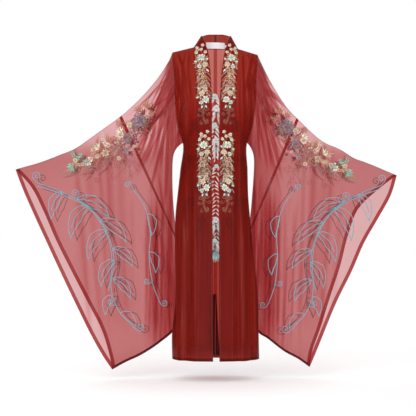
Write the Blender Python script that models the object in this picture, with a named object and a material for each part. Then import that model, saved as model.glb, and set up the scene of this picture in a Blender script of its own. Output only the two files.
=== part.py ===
# An open-front robe with very wide sleeves, cut from sheer organza, filled out as when it is worn.
# Metres, +Z up. The front faces -Y, and the wearer's left is at +X.
# The origin lies between the shoulders, at the height of the shoulder seams.

import math
from collections import namedtuple

import bmesh
import bpy
import numpy as np
from mathutils.kdtree import KDTree

# Cloth
WALL = 0.0012
BAND_WALL = 0.0020
LABEL_WALL = 0.0010
SEAM_GAP = 0.0003
SLEEVE_GAP = 0.0004
BAND_GAP = 0.0006
ARMPIT_EASE = 0.0008
LABEL_LIFT = 0.0008

# Heights
HEM_Z = -1.286
ARMPIT_Z = -0.382
VENT_TOP_Z = -1.025
COLLAR_TOP_Z = 0.0785
NECK_BACK_Z = 0.020

# How the figure inside rounds the cloth
SECTION_POWER = 2.3
SHOULDER_ROUND = 0.100
NECK_DEPTH = 0.070
COLLAR_LEAN = 0.88
COLLAR_TURN = 0.160
VENT_SPREAD = 0.006
LABEL_WIDTH = 0.083
LABEL_HEIGHT = 0.029

# Rows and columns of the cloth grids
ARM_ROWS = 14
SKIRT_ROWS = 13
YOKE_COLUMNS = 4
PANEL_COLUMNS = 6
BAND_COLUMNS = 3

SIDES = {"left": 1, "right": -1}
FACES = {"front": -1, "back": 1}

# The body's half widths and its depths before and behind the side seams
Body = namedtuple("Body", "z left right front back")
BODY = (
    Body(-1.300, 0.1835, 0.1810, 0.116, 0.114),
    Body(-1.184, 0.1810, 0.1825, 0.114, 0.111),
    Body(-1.042, 0.1790, 0.1690, 0.110, 0.108),
    Body(-0.832, 0.1590, 0.1695, 0.105, 0.103),
    Body(-0.689, 0.1440, 0.1680, 0.102, 0.100),
    Body(-0.600, 0.1370, 0.1590, 0.100, 0.097),
    Body(-0.496, 0.1345, 0.1475, 0.099, 0.095),
    Body(-0.382, 0.1320, 0.1365, 0.100, 0.094),
    Body(-0.330, 0.1530, 0.1560, 0.102, 0.094),
    Body(-0.250, 0.1740, 0.1770, 0.103, 0.094),
    Body(-0.150, 0.1840, 0.1870, 0.098, 0.092),
    Body(-0.050, 0.1900, 0.1940, 0.085, 0.082),
    Body(0.030, 0.1920, 0.1960, 0.070, 0.070),
)

# Where the armhole seam lies, from the armpit up
Armhole = namedtuple("Armhole", "z left right")
ARMHOLE = (
    Armhole(-0.382, 0.1320, 0.1365),
    Armhole(-0.367, 0.1361, 0.1401),
    Armhole(-0.340, 0.1465, 0.1500),
    Armhole(-0.280, 0.1590, 0.1620),
    Armhole(-0.200, 0.1680, 0.1690),
    Armhole(-0.092, 0.1710, 0.1730),
    Armhole(-0.040, 0.1750, 0.1790),
    Armhole(0.020, 0.1780, 0.1810),
)

# The front band: its seam to the front panel and its free edge, from the hem up
Band = namedtuple("Band", "z seam_left seam_right edge_left edge_right")
BAND = (
    Band(-1.300, 0.0720, 0.0800, 0.0155, 0.0105),
    Band(-0.880, 0.0735, 0.0720, 0.0147, 0.0126),
    Band(-0.480, 0.0756, 0.0756, 0.0147, 0.0160),
    Band(-0.180, 0.0850, 0.0800, 0.0189, 0.0168),
    Band(-0.055, 0.0915, 0.0875, 0.0298, 0.0248),
    Band(-0.005, 0.0940, 0.0905, 0.0382, 0.0315),
    Band(0.030, 0.0950, 0.0915, 0.0490, 0.0440),
    Band(0.079, 0.0960, 0.0920, 0.0640, 0.0600),
)

# The shoulder seam's height at the neck and at the armhole
Shoulder = namedtuple("Shoulder", "neck_z arm_z")
SHOULDER = {"left": Shoulder(0.013, -0.012), "right": Shoulder(0.020, -0.002)}

# A sleeve's edges: station 0 is the armhole, 1 the seam to the lower sleeve and 2 the cuff
Sleeve = namedtuple("Sleeve", "station top_x top_z under_x under_z top_y under_y depth")
SLEEVE = {
    "right": (
        Sleeve(0.00, 0.180, -0.002, 0.1365, -0.382, 0.000, 0.000, 0.060),
        Sleeve(0.10, 0.196, -0.038, 0.1510, -0.392, 0.000, 0.000, 0.060),
        Sleeve(0.20, 0.226, -0.086, 0.1660, -0.409, 0.000, 0.003, 0.060),
        Sleeve(0.40, 0.271, -0.145, 0.1790, -0.449, 0.000, 0.016, 0.058),
        Sleeve(0.60, 0.317, -0.196, 0.1815, -0.535, 0.000, 0.028, 0.056),
        Sleeve(0.80, 0.362, -0.239, 0.1775, -0.645, -0.002, 0.044, 0.053),
        Sleeve(1.00, 0.399, -0.271, 0.1640, -0.790, -0.004, 0.058, 0.050),
        Sleeve(1.20, 0.508, -0.350, 0.1610, -0.924, -0.008, 0.062, 0.047),
        Sleeve(1.40, 0.590, -0.407, 0.1630, -1.054, -0.012, 0.064, 0.044),
        Sleeve(1.55, 0.653, -0.433, 0.1740, -1.170, -0.014, 0.066, 0.042),
        Sleeve(1.65, 0.695, -0.450, 0.2290, -1.221, -0.016, 0.050, 0.041),
        Sleeve(1.80, 0.749, -0.469, 0.3170, -1.277, -0.018, 0.026, 0.040),
        Sleeve(1.90, 0.799, -0.483, 0.3800, -1.305, -0.019, 0.012, 0.039),
        Sleeve(2.00, 0.836, -0.494, 0.4330, -1.334, -0.020, 0.004, 0.038),
    ),
    "left": (
        Sleeve(0.00, 0.178, -0.012, 0.1320, -0.382, 0.000, 0.000, 0.060),
        Sleeve(0.10, 0.189, -0.037, 0.1430, -0.394, 0.000, 0.000, 0.060),
        Sleeve(0.20, 0.210, -0.082, 0.1530, -0.412, 0.000, 0.003, 0.060),
        Sleeve(0.40, 0.238, -0.135, 0.1620, -0.452, 0.004, 0.016, 0.058),
        Sleeve(0.60, 0.274, -0.194, 0.1600, -0.530, 0.010, 0.028, 0.056),
        Sleeve(0.80, 0.307, -0.239, 0.1530, -0.630, 0.018, 0.044, 0.053),
        Sleeve(1.00, 0.347, -0.279, 0.1450, -0.756, 0.026, 0.056, 0.050),
        Sleeve(1.20, 0.446, -0.368, 0.1640, -0.907, 0.040, 0.064, 0.047),
        Sleeve(1.40, 0.531, -0.408, 0.1760, -1.054, 0.050, 0.068, 0.044),
        Sleeve(1.55, 0.590, -0.444, 0.1780, -1.176, 0.056, 0.070, 0.042),
        Sleeve(1.65, 0.632, -0.459, 0.2250, -1.213, 0.060, 0.062, 0.041),
        Sleeve(1.80, 0.691, -0.482, 0.2960, -1.266, 0.064, 0.050, 0.040),
        Sleeve(1.90, 0.733, -0.500, 0.3490, -1.294, 0.067, 0.044, 0.039),
        Sleeve(2.00, 0.772, -0.516, 0.3980, -1.328, 0.070, 0.040, 0.038),
    ),
}
UPPER_STATIONS = (0, 0.07, 0.15, 0.25, 0.37, 0.50, 0.63, 0.76, 0.88, 1.0)
LOWER_STATIONS = (1.0, 1.08, 1.17, 1.27, 1.37, 1.47, 1.55, 1.62, 1.70, 1.79, 1.88, 1.95, 2.0)
ARMHOLE_BLEND = 0.45
CUFF_BLEND = 0.50

# How far the cuff's edge bows out past a straight line, down its front and its back layer
Cuff = namedtuple("Cuff", "down left_front left_back right_front right_back")
CUFF = (
    Cuff(0.00, 0.000, 0.000, 0.000, 0.000),
    Cuff(0.10, 0.009, -0.046, 0.006, -0.024),
    Cuff(0.22, 0.000, -0.086, 0.009, -0.025),
    Cuff(0.36, -0.012, -0.078, 0.011, -0.019),
    Cuff(0.50, -0.010, -0.055, 0.013, -0.020),
    Cuff(0.66, -0.014, -0.039, 0.014, -0.024),
    Cuff(0.82, -0.008, -0.022, 0.014, -0.028),
    Cuff(0.93, -0.003, -0.014, 0.008, -0.014),
    Cuff(1.00, 0.000, 0.000, 0.000, 0.000),
)

# The largest folds, as lines in the front view; a trough has a height below zero
Fold = namedtuple("Fold", "x0 z0 x1 z1 width height")
FRONT_FOLDS = (
    Fold(-0.184, -0.060, -0.262, -0.235, 0.013, 0.010),
    Fold(-0.176, -0.085, -0.225, -0.250, 0.012, -0.009),
    Fold(-0.168, -0.090, -0.310, -0.450, 0.016, 0.010),
    Fold(-0.178, -0.180, -0.192, -0.400, 0.012, -0.008),
    Fold(-0.150, -0.050, -0.128, -0.360, 0.012, 0.006),
    Fold(-0.112, -0.150, -0.112, -0.620, 0.014, -0.005),
    Fold(-0.200, -0.740, -0.205, -1.180, 0.014, 0.009),
    Fold(-0.236, -0.700, -0.240, -1.190, 0.016, -0.010),
    Fold(-0.272, -0.680, -0.280, -1.180, 0.018, 0.010),
    Fold(-0.430, -0.330, -0.400, -1.100, 0.034, 0.010),
    Fold(-0.560, -0.430, -0.500, -1.150, 0.034, -0.009),
    Fold(-0.118, -0.680, -0.122, -1.310, 0.017, -0.010),
    Fold(-0.092, -0.560, -0.086, -1.310, 0.012, 0.006),
    Fold(-0.152, -0.560, -0.150, -1.310, 0.014, 0.008),
    Fold(0.184, -0.050, 0.205, -0.240, 0.013, 0.009),
    Fold(0.200, -0.100, 0.255, -0.390, 0.015, -0.010),
    Fold(0.168, -0.160, 0.192, -0.430, 0.012, 0.009),
    Fold(0.150, -0.060, 0.124, -0.380, 0.012, -0.006),
    Fold(0.110, -0.120, 0.106, -0.640, 0.014, 0.005),
    Fold(0.205, -0.600, 0.204, -1.180, 0.014, -0.010),
    Fold(0.240, -0.620, 0.238, -1.190, 0.016, 0.010),
    Fold(0.280, -0.660, 0.276, -1.190, 0.018, -0.009),
    Fold(0.400, -0.320, 0.380, -1.120, 0.034, 0.010),
    Fold(0.520, -0.430, 0.470, -1.150, 0.034, -0.009),
    Fold(0.146, -0.700, 0.150, -1.310, 0.015, -0.011),
    Fold(0.118, -0.600, 0.118, -1.310, 0.014, 0.008),
    Fold(0.092, -0.660, 0.090, -1.310, 0.012, -0.006),
)
BACK_FOLDS = (
    Fold(-0.180, -0.070, -0.290, -0.330, 0.015, 0.009),
    Fold(-0.172, -0.110, -0.235, -0.400, 0.014, -0.008),
    Fold(-0.120, -0.240, -0.128, -1.310, 0.016, 0.008),
    Fold(-0.084, -0.300, -0.088, -1.310, 0.015, -0.007),
    Fold(-0.045, -0.420, -0.046, -1.310, 0.014, 0.006),
    Fold(-0.215, -0.700, -0.222, -1.190, 0.016, 0.009),
    Fold(-0.262, -0.640, -0.268, -1.180, 0.018, -0.009),
    Fold(-0.470, -0.380, -0.430, -1.120, 0.034, -0.009),
    Fold(0.182, -0.060, 0.268, -0.340, 0.015, 0.009),
    Fold(0.170, -0.120, 0.216, -0.410, 0.014, -0.008),
    Fold(0.116, -0.260, 0.132, -1.310, 0.016, 0.008),
    Fold(0.080, -0.320, 0.092, -1.310, 0.015, -0.007),
    Fold(0.043, -0.440, 0.048, -1.310, 0.014, 0.006),
    Fold(0.222, -0.640, 0.218, -1.190, 0.016, -0.009),
    Fold(0.262, -0.640, 0.258, -1.180, 0.018, 0.009),
    Fold(0.450, -0.390, 0.410, -1.120, 0.034, -0.009),
)
FOLDS = {"front": FRONT_FOLDS, "back": BACK_FOLDS}
FOLD_ROOT = 0.030
FOLD_END = 0.18

# A cut piece: its outer points in rows, and their outward normals
Piece = namedtuple("Piece", "name kind grid normals wall around")
SEAM_REACH = 0.0012

# Colour and roughness of each kind of piece
Finish = namedtuple("Finish", "red green blue roughness")
FINISH = {
    "body": Finish(0.30, 0.020, 0.017, 0.62),
    "sleeve": Finish(0.44, 0.080, 0.085, 0.55),
    "band": Finish(0.27, 0.018, 0.016, 0.60),
    "label": Finish(0.82, 0.81, 0.79, 0.50),
}


def clear_scene():
    for thing in list(bpy.data.objects):
        bpy.data.objects.remove(thing, do_unlink=True)


# A smooth curve through the points (xs, ys), xs rising
def smooth(at, xs, ys):
    xs, ys = np.asarray(xs, float), np.asarray(ys, float)
    steps = np.diff(xs)
    rises = np.diff(ys) / steps
    slopes = np.concatenate([rises[:1], (rises[1:] + rises[:-1]) / 2, rises[-1:]])
    i = int(np.clip(np.searchsorted(xs, at) - 1, 0, len(steps) - 1))
    u = (at - xs[i]) / steps[i]
    start, end = ys[i], ys[i + 1]
    lean = steps[i] * (u * (1 - u) ** 2 * slopes[i] - u * u * (1 - u) * slopes[i + 1])
    return start + (end - start) * u * u * (3 - 2 * u) + lean


def read(table, column, at):
    return smooth(at, [row[0] for row in table], [getattr(row, column) for row in table])


def ease(u):
    u = min(1.0, max(0.0, u))
    return u * u * (3 - 2 * u)


# The rise of a quarter ellipse, 0 at 0 and 1 from 1 on
def rounded(u):
    u = min(1.0, max(0.0, u))
    return math.sqrt(1 - (1 - u) ** 2)


# How far the folds move a point of one layer outwards
def relief(face, x, z):
    total = 0.0
    for fold in FOLDS[face]:
        run = np.array([fold.x1 - fold.x0, fold.z1 - fold.z0])
        away = np.array([x - fold.x0, z - fold.z0])
        length = float(run @ run)
        along = float(away @ run) / length
        if -FOLD_END < along < 1 + FOLD_END:
            across = (away[0] * run[1] - away[1] * run[0]) / math.sqrt(length)
            fade = ease((along + FOLD_END) / FOLD_END / 2) * ease((1 + FOLD_END - along) / FOLD_END / 2)
            total += fold.height * fade * math.exp(-((across / fold.width) ** 2))
    return total


# The angle round the body's section at which the cloth stands x from the middle
def turn_at(x, width):
    return math.asin(min(1.0, x / width) ** (SECTION_POWER / 2))


def fractions(count):
    even = np.linspace(0, 1, count + 1)
    return 0.5 * even + 0.5 * (1 - np.cos(math.pi * even)) / 2


# Heights down one column of a panel: the armhole's rows, then the skirt's
def heights(top):
    upper = top + (ARMPIT_Z - top) * fractions(ARM_ROWS)
    lower = np.linspace(ARMPIT_Z, HEM_Z, SKIRT_ROWS + 1)[1:]
    return np.concatenate([upper, lower])


# Column 0 is the band's seam, PANEL_COLUMNS the side and -YOKE_COLUMNS the centre back
def turn_of(side, column, z):
    width = read(BODY, side, z)
    seam = turn_at(read(BAND, "seam_" + side, z), width)
    if column <= 0:
        return seam * (1 + column / YOKE_COLUMNS), width
    edge = math.pi / 2
    if z > ARMPIT_Z:
        edge = turn_at(read(ARMHOLE, side, z), width)
    return seam + (edge - seam) * column / PANEL_COLUMNS, width


def across(side, column, z):
    turn, width = turn_of(side, column, z)
    return width * math.sin(turn) ** (2 / SECTION_POWER)


def top_height(side, column):
    shoulder = SHOULDER[side]
    neck, arm = across(side, 0, 0), across(side, PANEL_COLUMNS, 0)
    x = across(side, column, 0)
    if column > 0:
        return shoulder.neck_z + (shoulder.arm_z - shoulder.neck_z) * (x - neck) / (arm - neck)
    return NECK_BACK_Z + (shoulder.neck_z - NECK_BACK_Z) * ease(x / neck)


# How deep the top edge lies: the neckline curves back, and the shoulder seam has no depth
def top_depth(side, face, column):
    if face == "front" or column >= 0:
        return 0.0
    share = across(side, column, 0) / across(side, 0, 0)
    return NECK_DEPTH * (1 - share**SECTION_POWER) ** (1 / SECTION_POWER)


def panel_point(side, face, column, row):
    rows = heights(top_height(side, column))
    z = rows[row]
    turn, width = turn_of(side, column, z)
    x = width * math.sin(turn) ** (2 / SECTION_POWER)
    full = read(BODY, face, z) * max(0.0, math.cos(turn)) ** (2 / SECTION_POWER)
    start = top_depth(side, face, column)
    depth = start + (full - start) * rounded((rows[0] - z) / SHOULDER_ROUND)
    depth += relief(face, SIDES[side] * x, z) * min(1.0, depth / FOLD_ROOT)
    return np.array([SIDES[side] * x, FACES[face] * depth, z])


# The edges that meet another panel stand back by half the seam's gap
def panel(side, face):
    first = 0 if face == "front" else -YOKE_COLUMNS
    grid = []
    for row in range(ARM_ROWS + SKIRT_ROWS + 1):
        line = []
        for column in range(first, PANEL_COLUMNS + 1):
            point = panel_point(side, face, column, row)
            on_shoulder = row == 0 and column >= 0
            on_side = row >= ARM_ROWS and column == PANEL_COLUMNS
            if on_shoulder or on_side:
                point[1] += FACES[face] * SEAM_GAP / 2
            if column == -YOKE_COLUMNS:
                open_by = max(0.0, VENT_TOP_Z - point[2]) / (VENT_TOP_Z - HEM_Z)
                point[0] = SIDES[side] * (SEAM_GAP / 2 + VENT_SPREAD * open_by)
            line.append(point)
        grid.append(line)
    return grid


def unit(vector):
    return vector / np.linalg.norm(vector)


# The band's free edge beside a point of its seam, which lies drop below the neck point
def band_edge(side, drop, seam_z):
    neck_z = SHOULDER[side].neck_z
    z = seam_z + (COLLAR_TOP_Z - neck_z) * (1 - ease(drop / COLLAR_TURN))
    x = read(BAND, "edge_" + side, z)
    width = read(BODY, side, z)
    full = read(BODY, "front", z) * math.cos(turn_at(x, width)) ** (2 / SECTION_POWER)
    depth = full * rounded((COLLAR_TOP_Z - z) / COLLAR_TURN)
    depth += relief("front", SIDES[side] * x, z) * min(1.0, depth / FOLD_ROOT)
    return np.array([SIDES[side] * x, -depth, z])


# Pairs of points, seam and free edge, from the centre back round the neck and down to the hem
def band_rows(side):
    rows = []
    lean = read(BAND, "edge_" + side, COLLAR_TOP_Z) / across(side, 0, 0)
    for column in range(-YOKE_COLUMNS, 0):
        seam = panel_point(side, "back", column, 0)
        if column == -YOKE_COLUMNS:
            seam[0] = SIDES[side] * SEAM_GAP / 2
        edge = np.array([seam[0] * lean, seam[1] * COLLAR_LEAN, COLLAR_TOP_Z])
        if column == -YOKE_COLUMNS:
            edge[0] = seam[0]
        rows.append((seam, edge))
    for row in range(ARM_ROWS + SKIRT_ROWS + 1):
        seam = panel_point(side, "front", 0, row)
        rows.append((seam, band_edge(side, SHOULDER[side].neck_z - seam[2], seam[2])))
    return rows


def band(side):
    grid = []
    for seam, edge in band_rows(side):
        start = seam + unit(edge - seam) * BAND_GAP
        grid.append([start + (edge - start) * k / BAND_COLUMNS for k in range(BAND_COLUMNS + 1)])
    return grid


# The loop where body and sleeve meet: down the front to the armpit and up the back
def armhole(side):
    down = [panel_point(side, "front", PANEL_COLUMNS, row) for row in range(ARM_ROWS + 1)]
    up = [panel_point(side, "back", PANEL_COLUMNS, row) for row in range(ARM_ROWS - 1, 0, -1)]
    return down + up


# A sleeve's cross-section at a station: straight ribs from its top edge to its under edge
def sleeve_ring(side, station, loop):
    sign = SIDES[side]
    at = {name: read(SLEEVE[side], name, station) for name in Sleeve._fields[1:]}
    start = SLEEVE[side][0]
    top = np.array([sign * at["top_x"], at["top_y"], at["top_z"]])
    under = np.array([sign * at["under_x"], at["under_y"], at["under_z"]])
    first_top = np.array([sign * start.top_x, 0, start.top_z])
    first_under = np.array([sign * start.under_x, 0, start.under_z])
    rib = unit(under - top)
    outward = np.array([rib[2], 0, -rib[0]]) * -sign
    downs = fractions(ARM_ROWS)
    free = ease(station / ARMHOLE_BLEND)
    at_cuff = ease((station - 2 + CUFF_BLEND) / CUFF_BLEND)
    ring = []
    for i, from_loop in enumerate(loop):
        face = "front" if i <= ARM_ROWS else "back"
        down = downs[i] if face == "front" else downs[2 * ARM_ROWS - i]
        straight = top + (under - top) * down
        carried = from_loop - first_top - (first_under - first_top) * down
        round_off = 2 * math.sqrt(max(0.0, down * (1 - down)))
        depth = at["depth"] * round_off * free
        point = straight + carried * (1 - free)
        if face == "front" and 0 < i < ARM_ROWS or face == "back":
            depth += relief(face, point[0], point[2]) * min(1.0, depth / FOLD_ROOT) * free
            bow = read(CUFF, side + "_" + face, down)
            point = point + outward * bow * at_cuff
        point[1] += FACES[face] * depth
        ring.append(point)
    return ring


def sleeve(side, stations):
    loop = armhole(side)
    rings = np.array([sleeve_ring(side, station, loop) for station in stations])
    onward = rings[1] - rings[0]
    round_seam = np.roll(rings[0], -1, axis=0) - np.roll(rings[0], 1, axis=0)
    round_seam /= np.linalg.norm(round_seam, axis=1, keepdims=True)
    onward -= round_seam * (onward * round_seam).sum(axis=1, keepdims=True)
    downs = fractions(ARM_ROWS)
    downs = np.concatenate([downs, downs[-2:0:-1]])[:, None]
    gap = SLEEVE_GAP + ARMPIT_EASE * downs**4
    rings[0] += onward / np.linalg.norm(onward, axis=1, keepdims=True) * gap
    return rings


# The label lies on the inside of the collar, across the centre back, on the band's own points
def label():
    grid = []
    for side in ("right", "left"):
        rows = band_rows(side)
        seams = np.array([seam for seam, edge in rows[: YOKE_COLUMNS + 1]])
        edges = np.array([edge for seam, edge in rows[: YOKE_COLUMNS + 1]])
        reach = np.abs(seams[:, 0])
        stops = [x for x in reach if x < LABEL_WIDTH / 2] + [LABEL_WIDTH / 2]
        columns = []
        for stop in stops[1:]:
            seam = np.array([np.interp(stop, reach, seams[:, k]) for k in range(3)])
            edge = np.array([np.interp(stop, reach, edges[:, k]) for k in range(3)])
            columns.append(label_column(seam, edge))
        grid += columns[::-1] if side == "right" else columns
    return grid


def label_column(seam, edge):
    up = unit(edge - seam)
    inward = unit(np.array([-seam[0], -seam[1], 0]))
    base = seam + inward * (BAND_WALL + LABEL_LIFT)
    return [base + up * LABEL_HEIGHT * (0.1 + 0.9 * k / 2) for k in range(3)]


# Outward normals of a grid of points; a tube's grid closes round on itself
def grid_normals(grid, around):
    if around:
        across_step = np.roll(grid, -1, axis=1) - np.roll(grid, 1, axis=1)
    else:
        across_step = np.gradient(grid, axis=1)
    normals = np.cross(np.gradient(grid, axis=0), across_step)
    normals /= np.maximum(np.linalg.norm(normals, axis=2, keepdims=True), 1e-12)
    middle = grid.mean(axis=1, keepdims=True)
    if not around:
        middle[:, :, :2] = 0
    away = ((grid - middle) * normals).sum()
    return normals if away > 0 else -normals


# Pieces that meet share a normal at their seam, so that their walls stand side by side
def share_normals(pieces):
    points = np.concatenate([piece.grid.reshape(-1, 3) for piece in pieces])
    normals = np.concatenate([piece.normals.reshape(-1, 3) for piece in pieces])
    owners = np.concatenate([np.full(piece.grid.size // 3, i) for i, piece in enumerate(pieces)])
    tree = KDTree(len(points))
    for i, point in enumerate(points):
        tree.insert(point, i)
    tree.balance()
    shared = normals.copy()
    for i, point in enumerate(points):
        near = [j for _, j, _ in tree.find_range(point, SEAM_REACH)]
        if len({owners[j] for j in near}) > 1:
            shared[i] = unit(normals[near].sum(axis=0))
    at = 0
    for piece in pieces:
        count = piece.grid.size // 3
        piece.normals[:] = shared[at : at + count].reshape(piece.grid.shape)
        at += count


# The two triangles of a quad, parted along its shorter diagonal
def halves(quad, points):
    a, b, c, d = quad
    if np.linalg.norm(points[a] - points[c]) < np.linalg.norm(points[b] - points[d]):
        return [(a, b, c), (a, c, d)]
    return [(a, b, d), (b, c, d)]


# A wall of cloth: the grid is its outer side, and its inner side lies one wall further in
def cloth(piece):
    rows, columns = piece.grid.shape[:2]
    count = rows * columns
    inner = piece.grid - piece.normals * piece.wall
    points = np.concatenate([piece.grid, inner]).reshape(-1, 3)
    outer = np.arange(count).reshape(rows, columns)
    if piece.around:
        outer = np.concatenate([outer, outer[:, :1]], axis=1)
    quads = [
        (outer[i, j], outer[i, j + 1], outer[i + 1, j + 1], outer[i + 1, j])
        for i in range(rows - 1)
        for j in range(outer.shape[1] - 1)
    ]
    sides = [half for quad in quads for half in halves(quad, points)]
    faces = sides + [tuple(k + count for k in side[::-1]) for side in sides]
    rims = [list(outer[0]), list(outer[-1])[::-1]]
    if not piece.around:
        rims += [list(outer[:, -1]), list(outer[:, 0])[::-1]]
    for rim in rims:
        faces += [(b, a, a + count, b + count) for a, b in zip(rim, rim[1:])]
    mesh = bpy.data.meshes.new(piece.name)
    mesh.from_pydata(points.tolist(), [], [tuple(int(k) for k in face) for face in faces])
    shape = bmesh.new()
    shape.from_mesh(mesh)
    bmesh.ops.recalc_face_normals(shape, faces=shape.faces)
    shape.to_mesh(mesh)
    shape.free()
    mesh.shade_smooth()
    mesh.materials.append(finish(piece.kind))
    thing = bpy.data.objects.new(piece.name, mesh)
    bpy.data.collections["robe"].objects.link(thing)


def finish(kind):
    if kind in bpy.data.materials:
        return bpy.data.materials[kind]
    look = FINISH[kind]
    material = bpy.data.materials.new(kind)
    material.use_nodes = True
    shader = material.node_tree.nodes["Principled BSDF"]
    shader.inputs["Base Color"].default_value = (look.red, look.green, look.blue, 1)
    shader.inputs["Roughness"].default_value = look.roughness
    shader.inputs["Metallic"].default_value = 0
    return material


def piece_of(name, kind, grid, wall=WALL, around=False):
    grid = np.array(grid, float)
    return Piece(name, kind, grid, grid_normals(grid, around), wall, around)


def main():
    clear_scene()
    robe = bpy.data.collections.new("robe")
    bpy.context.scene.collection.children.link(robe)
    pieces = []
    for side in SIDES:
        for face in FACES:
            pieces.append(piece_of(face + "_" + side, "body", panel(side, face)))
        pieces.append(piece_of("band_" + side, "band", band(side), BAND_WALL))
        pieces.append(piece_of("upper_sleeve_" + side, "sleeve", sleeve(side, UPPER_STATIONS), around=True))
        pieces.append(piece_of("lower_sleeve_" + side, "sleeve", sleeve(side, LOWER_STATIONS), around=True))
    share_normals(pieces)
    pieces.append(piece_of("neck_label", "label", label(), LABEL_WALL))
    for piece in pieces:
        cloth(piece)


main()
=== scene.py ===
# Sheer embroidered robe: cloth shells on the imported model's own form, seams, hems and silk embroidery
import math
import random

import bpy
import numpy as np
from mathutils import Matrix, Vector
from mathutils.bvhtree import BVHTree


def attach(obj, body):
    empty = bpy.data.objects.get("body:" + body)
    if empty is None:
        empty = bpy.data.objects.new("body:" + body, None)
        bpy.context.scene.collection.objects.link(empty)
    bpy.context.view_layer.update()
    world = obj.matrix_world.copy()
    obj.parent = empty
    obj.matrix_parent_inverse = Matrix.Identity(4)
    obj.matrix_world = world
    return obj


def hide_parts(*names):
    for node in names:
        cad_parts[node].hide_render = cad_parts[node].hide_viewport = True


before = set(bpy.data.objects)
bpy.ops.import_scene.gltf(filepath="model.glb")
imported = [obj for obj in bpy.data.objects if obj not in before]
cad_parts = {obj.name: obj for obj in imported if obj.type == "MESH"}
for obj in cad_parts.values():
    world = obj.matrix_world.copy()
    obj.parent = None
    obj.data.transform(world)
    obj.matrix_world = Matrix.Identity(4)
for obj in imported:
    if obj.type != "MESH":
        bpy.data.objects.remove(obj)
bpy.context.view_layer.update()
print("loaded the packed model")

sides = {"left": 1, "right": -1}
faces = {"front": -1, "back": 1}


def mm(values):
    return [value / 1000 for value in values]


# The body's section at each height, as in the solids
body = {
    "z": [-1.300, -1.184, -1.042, -0.832, -0.689, -0.600, -0.496, -0.382, -0.330, -0.250, -0.150, -0.050,
          0.030],
    "left": [0.1835, 0.1810, 0.1790, 0.1590, 0.1440, 0.1370, 0.1345, 0.1320, 0.1530, 0.1740, 0.1840, 0.1900,
             0.1920],
    "right": [0.1810, 0.1825, 0.1690, 0.1695, 0.1680, 0.1590, 0.1475, 0.1365, 0.1560, 0.1770, 0.1870,
              0.1940, 0.1960],
    "front": [0.116, 0.114, 0.110, 0.105, 0.102, 0.100, 0.099, 0.100, 0.102, 0.103, 0.098, 0.085, 0.070],
    "back": [0.114, 0.111, 0.108, 0.103, 0.100, 0.097, 0.095, 0.094, 0.094, 0.094, 0.092, 0.082, 0.070],
    "hem": -1.286, "armpit": -0.382, "power": 2.3, "shoulderRound": 0.100, "neckDepth": 0.070,
    "neckBack": 0.020, "collarTop": 0.0785, "collarLean": 0.88, "collarTurn": 0.160,
    "ventTop": -1.025, "ventSpread": 0.006,
}
armhole = {
    "z": [-0.382, -0.367, -0.340, -0.280, -0.200, -0.092, -0.040, 0.020],
    "left": [0.1320, 0.1361, 0.1465, 0.1590, 0.1680, 0.1710, 0.1750, 0.1780],
    "right": [0.1365, 0.1401, 0.1500, 0.1620, 0.1690, 0.1730, 0.1790, 0.1810],
}
bandShape = {
    "z": [-1.300, -0.880, -0.480, -0.180, -0.055, -0.005, 0.030, 0.079],
    "seamleft": [0.0720, 0.0735, 0.0756, 0.0850, 0.0915, 0.0940, 0.0950, 0.0960],
    "seamright": [0.0800, 0.0720, 0.0756, 0.0800, 0.0875, 0.0905, 0.0915, 0.0920],
    "edgeleft": [0.0155, 0.0147, 0.0147, 0.0189, 0.0298, 0.0382, 0.0490, 0.0640],
    "edgeright": [0.0105, 0.0126, 0.0160, 0.0168, 0.0248, 0.0315, 0.0440, 0.0600],
}
shoulder = {"left": (0.013, -0.012), "right": (0.020, -0.002)}  # heights at the neck and at the armhole
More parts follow.
